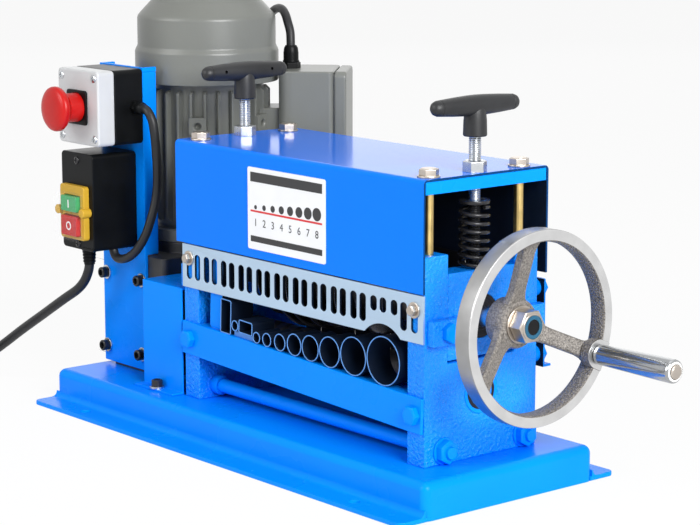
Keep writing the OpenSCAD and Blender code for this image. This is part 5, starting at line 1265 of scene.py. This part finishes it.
cable_sheath = finish("cable_sheath", (0.01, 0.0105, 0.012), 0.25, (0.36, 0.5), 800, 0.12, specular=0.35)
lead_r = 4
motor_lead = [(-143, 98, 318), (-143, 98, 328), (-145, 99, 338), (-150, 100, 347), (-157, 103, 353),
              (-167, 107, 357), (-179, 111, 357), (-192, 114, 352), (-206, 116, 340), (-221, 115, 323),
              (-236, 111, 302), (-250, 103, 279), (-261, 90, 257), (-268, 72, 237), (-271, 50, 220),
              (-267, 26, 206), (-256, 4, 196), (-240, -12, 191), (-226, -24, 190), (-218, -33, 190),
              (-217, -40, 190), (-217, -46, 190)]
stop_lead = [(-172, -50, 276), (-166, -50, 276), (-161, -50, 274), (-157, -49, 268), (-155, -48, 259),
             (-155, -46, 240), (-155, -45, 216), (-156, -46, 197), (-158, -50, 179), (-162, -54, 163),
             (-169, -58, 150), (-178, -61, 142), (-187, -63, 139), (-194, -64, 140), (-198, -64, 145),
             (-199, -64, 152)]
bm = bmesh.new()
tube(bm, smooth(motor_lead), lead_r)
tube(bm, smooth(stop_lead), lead_r)
piece("box_leads", bm, [cable_sheath], "cable_sheath", ["control_leads"], sharp=60)

# Mains cord: a round three-core cord from a ribbed strain relief under the switch box to a moulded plug.
# Its spare length is wound into a coil with three ties on it.
cord_r = 4.4
cord_route = [(-226, -72, 133), (-226.5, -72.2, 126.7), (-228.2, -72.9, 120.7), (-230.8, -73.9, 115),
              (-234.4, -75.2, 109.9), (-238.9, -76.7, 105.4), (-244, -78.2, 101.6), (-254, -80.7, 95.2),
              (-270, -83, 85.3), (-288, -84, 74.8), (-306, -86, 64), (-324, -88, 53), (-342, -91, 41),
              (-359, -94, 30), (-375, -97, 20), (-391, -99, 11.5), (-406, -100, 6), (-420, -100, 4.4)]
coil_mid = Vector((-425, -160, 0))
coil_in = 42.4
coil_out = 60
layer_turns = 2
climb_turns = 0.5
coil_steps = 18
coil = []
for k in range(1, int((2 * layer_turns + climb_turns) * coil_steps) + 1):
    done = k / coil_steps
    if done <= layer_turns:
        radius = coil_out + (coil_in - coil_out) * done / layer_turns
        height = cord_r
    elif done <= layer_turns + climb_turns:
        radius = coil_in
        height = cord_r + 2 * cord_r * (1 - math.cos((done - layer_turns) / climb_turns * math.pi)) / 2
    else:
        radius = coil_in + (coil_out - coil_in) * (done - layer_turns - climb_turns) / layer_turns
        height = 3 * cord_r
    angle = math.pi / 2 + 2 * math.pi * done
    coil.append(coil_mid + Vector((radius * math.cos(angle), radius * math.sin(angle), height)))
plug_end = Vector((-356, -216, 10))
cord_tail = [(-412, -220, 13.2), (-400, -219, 12.6), (-388, -218, 11.4), (-377, -217, 10.4), (-366, -216, 10),
             plug_end]
cord_line = smooth([*cord_route, *coil, *cord_tail], 4)
bm = bmesh.new()
tube(bm, cord_line, cord_r, 18)
cord = piece("mains_lead", bm, [cable_sheath], "cable_sheath", ["mains_cord", "cord_coil"], sharp=60)
relief_top = switch_low.z
relief_foot = relief_top - 17
relief = [(relief_top, 0), (relief_top, 6.9), (relief_top - 3.4, 6.9), (relief_top - 4, 6.4)]
for k in range(4):
    z = relief_top - 4.6 - 2.9 * k
    swell = 6.3 - 0.2 * k
    relief += [(z, swell), (z - 1.6, swell), (z - 1.9, swell - 0.7), (z - 2.6, swell - 0.7)]
relief += [(relief_foot, 5), (relief_foot, 0)]
relief_place = (*cord_route[0][:2], 0)
spun("cord_relief", relief, relief_place, "Z", 36, black_plastic, "black_plastic", ["mains_gland"])
brass = finish("plug_brass", (0.7, 0.55, 0.28), 0.08, (0.22, 0.32), 600, 0.05, metallic=1.0)
sleeve = [(0, 0), (0, 5.4), (3, 5.4), (3.4, 6), (5.4, 6), (5.8, 5.7), (8, 5.9), (8.4, 6.6), (10.4, 6.6),
          (10.8, 6.2), (16, 7.4), (16, 0)]
moulding = ((15, 8, 8), (18, 10, 9.2), (25, 12, 9.6), (39, 13.4, 9.9), (41, 13.4, 9.9))
moulding_r = 5
blade_x = (40, 59)
blade_apart = 6.35
blade_half = (0.75, 3.15)
bm = bmesh.new()
lathe(bm, sleeve, plug_end, "X", 32)
loft(bm, [[plug_end + Vector((u, y, z)) for y, z in rounded((-w, -h), (w, h), moulding_r)]
          for u, w, h in moulding])
for y in (-blade_apart, blade_apart):
    slab(bm, plug_end + Vector((blade_x[0], y - blade_half[0], -blade_half[1])),
         plug_end + Vector((blade_x[1], y + blade_half[0], blade_half[1])), 1)
plug = piece("cord_plug", bm, [black_plastic, brass], "black_plastic", ["mains_plug"], soften=0.4)
tie_half = 2
band = rounded((37.2, 0.3), (64.8, 17.9), 3)
inner = rounded((38, 1.1), (64, 17.1), 2.4)
bm = bmesh.new()
for angle in (0.0, 2.2, 4.2):
    out = Vector((math.cos(angle), math.sin(angle), 0))
    side = Vector((-math.sin(angle), math.cos(angle), 0))
    edges = ((band, -tie_half), (band, tie_half), (inner, tie_half), (inner, -tie_half))
    loft(bm, [[coil_mid + out * u + side * t + Vector((0, 0, v)) for u, v in ring] for ring, t in edges],
         closed=True)
tie = piece("coil_ties", bm, [grip_plastic], "black_plastic")
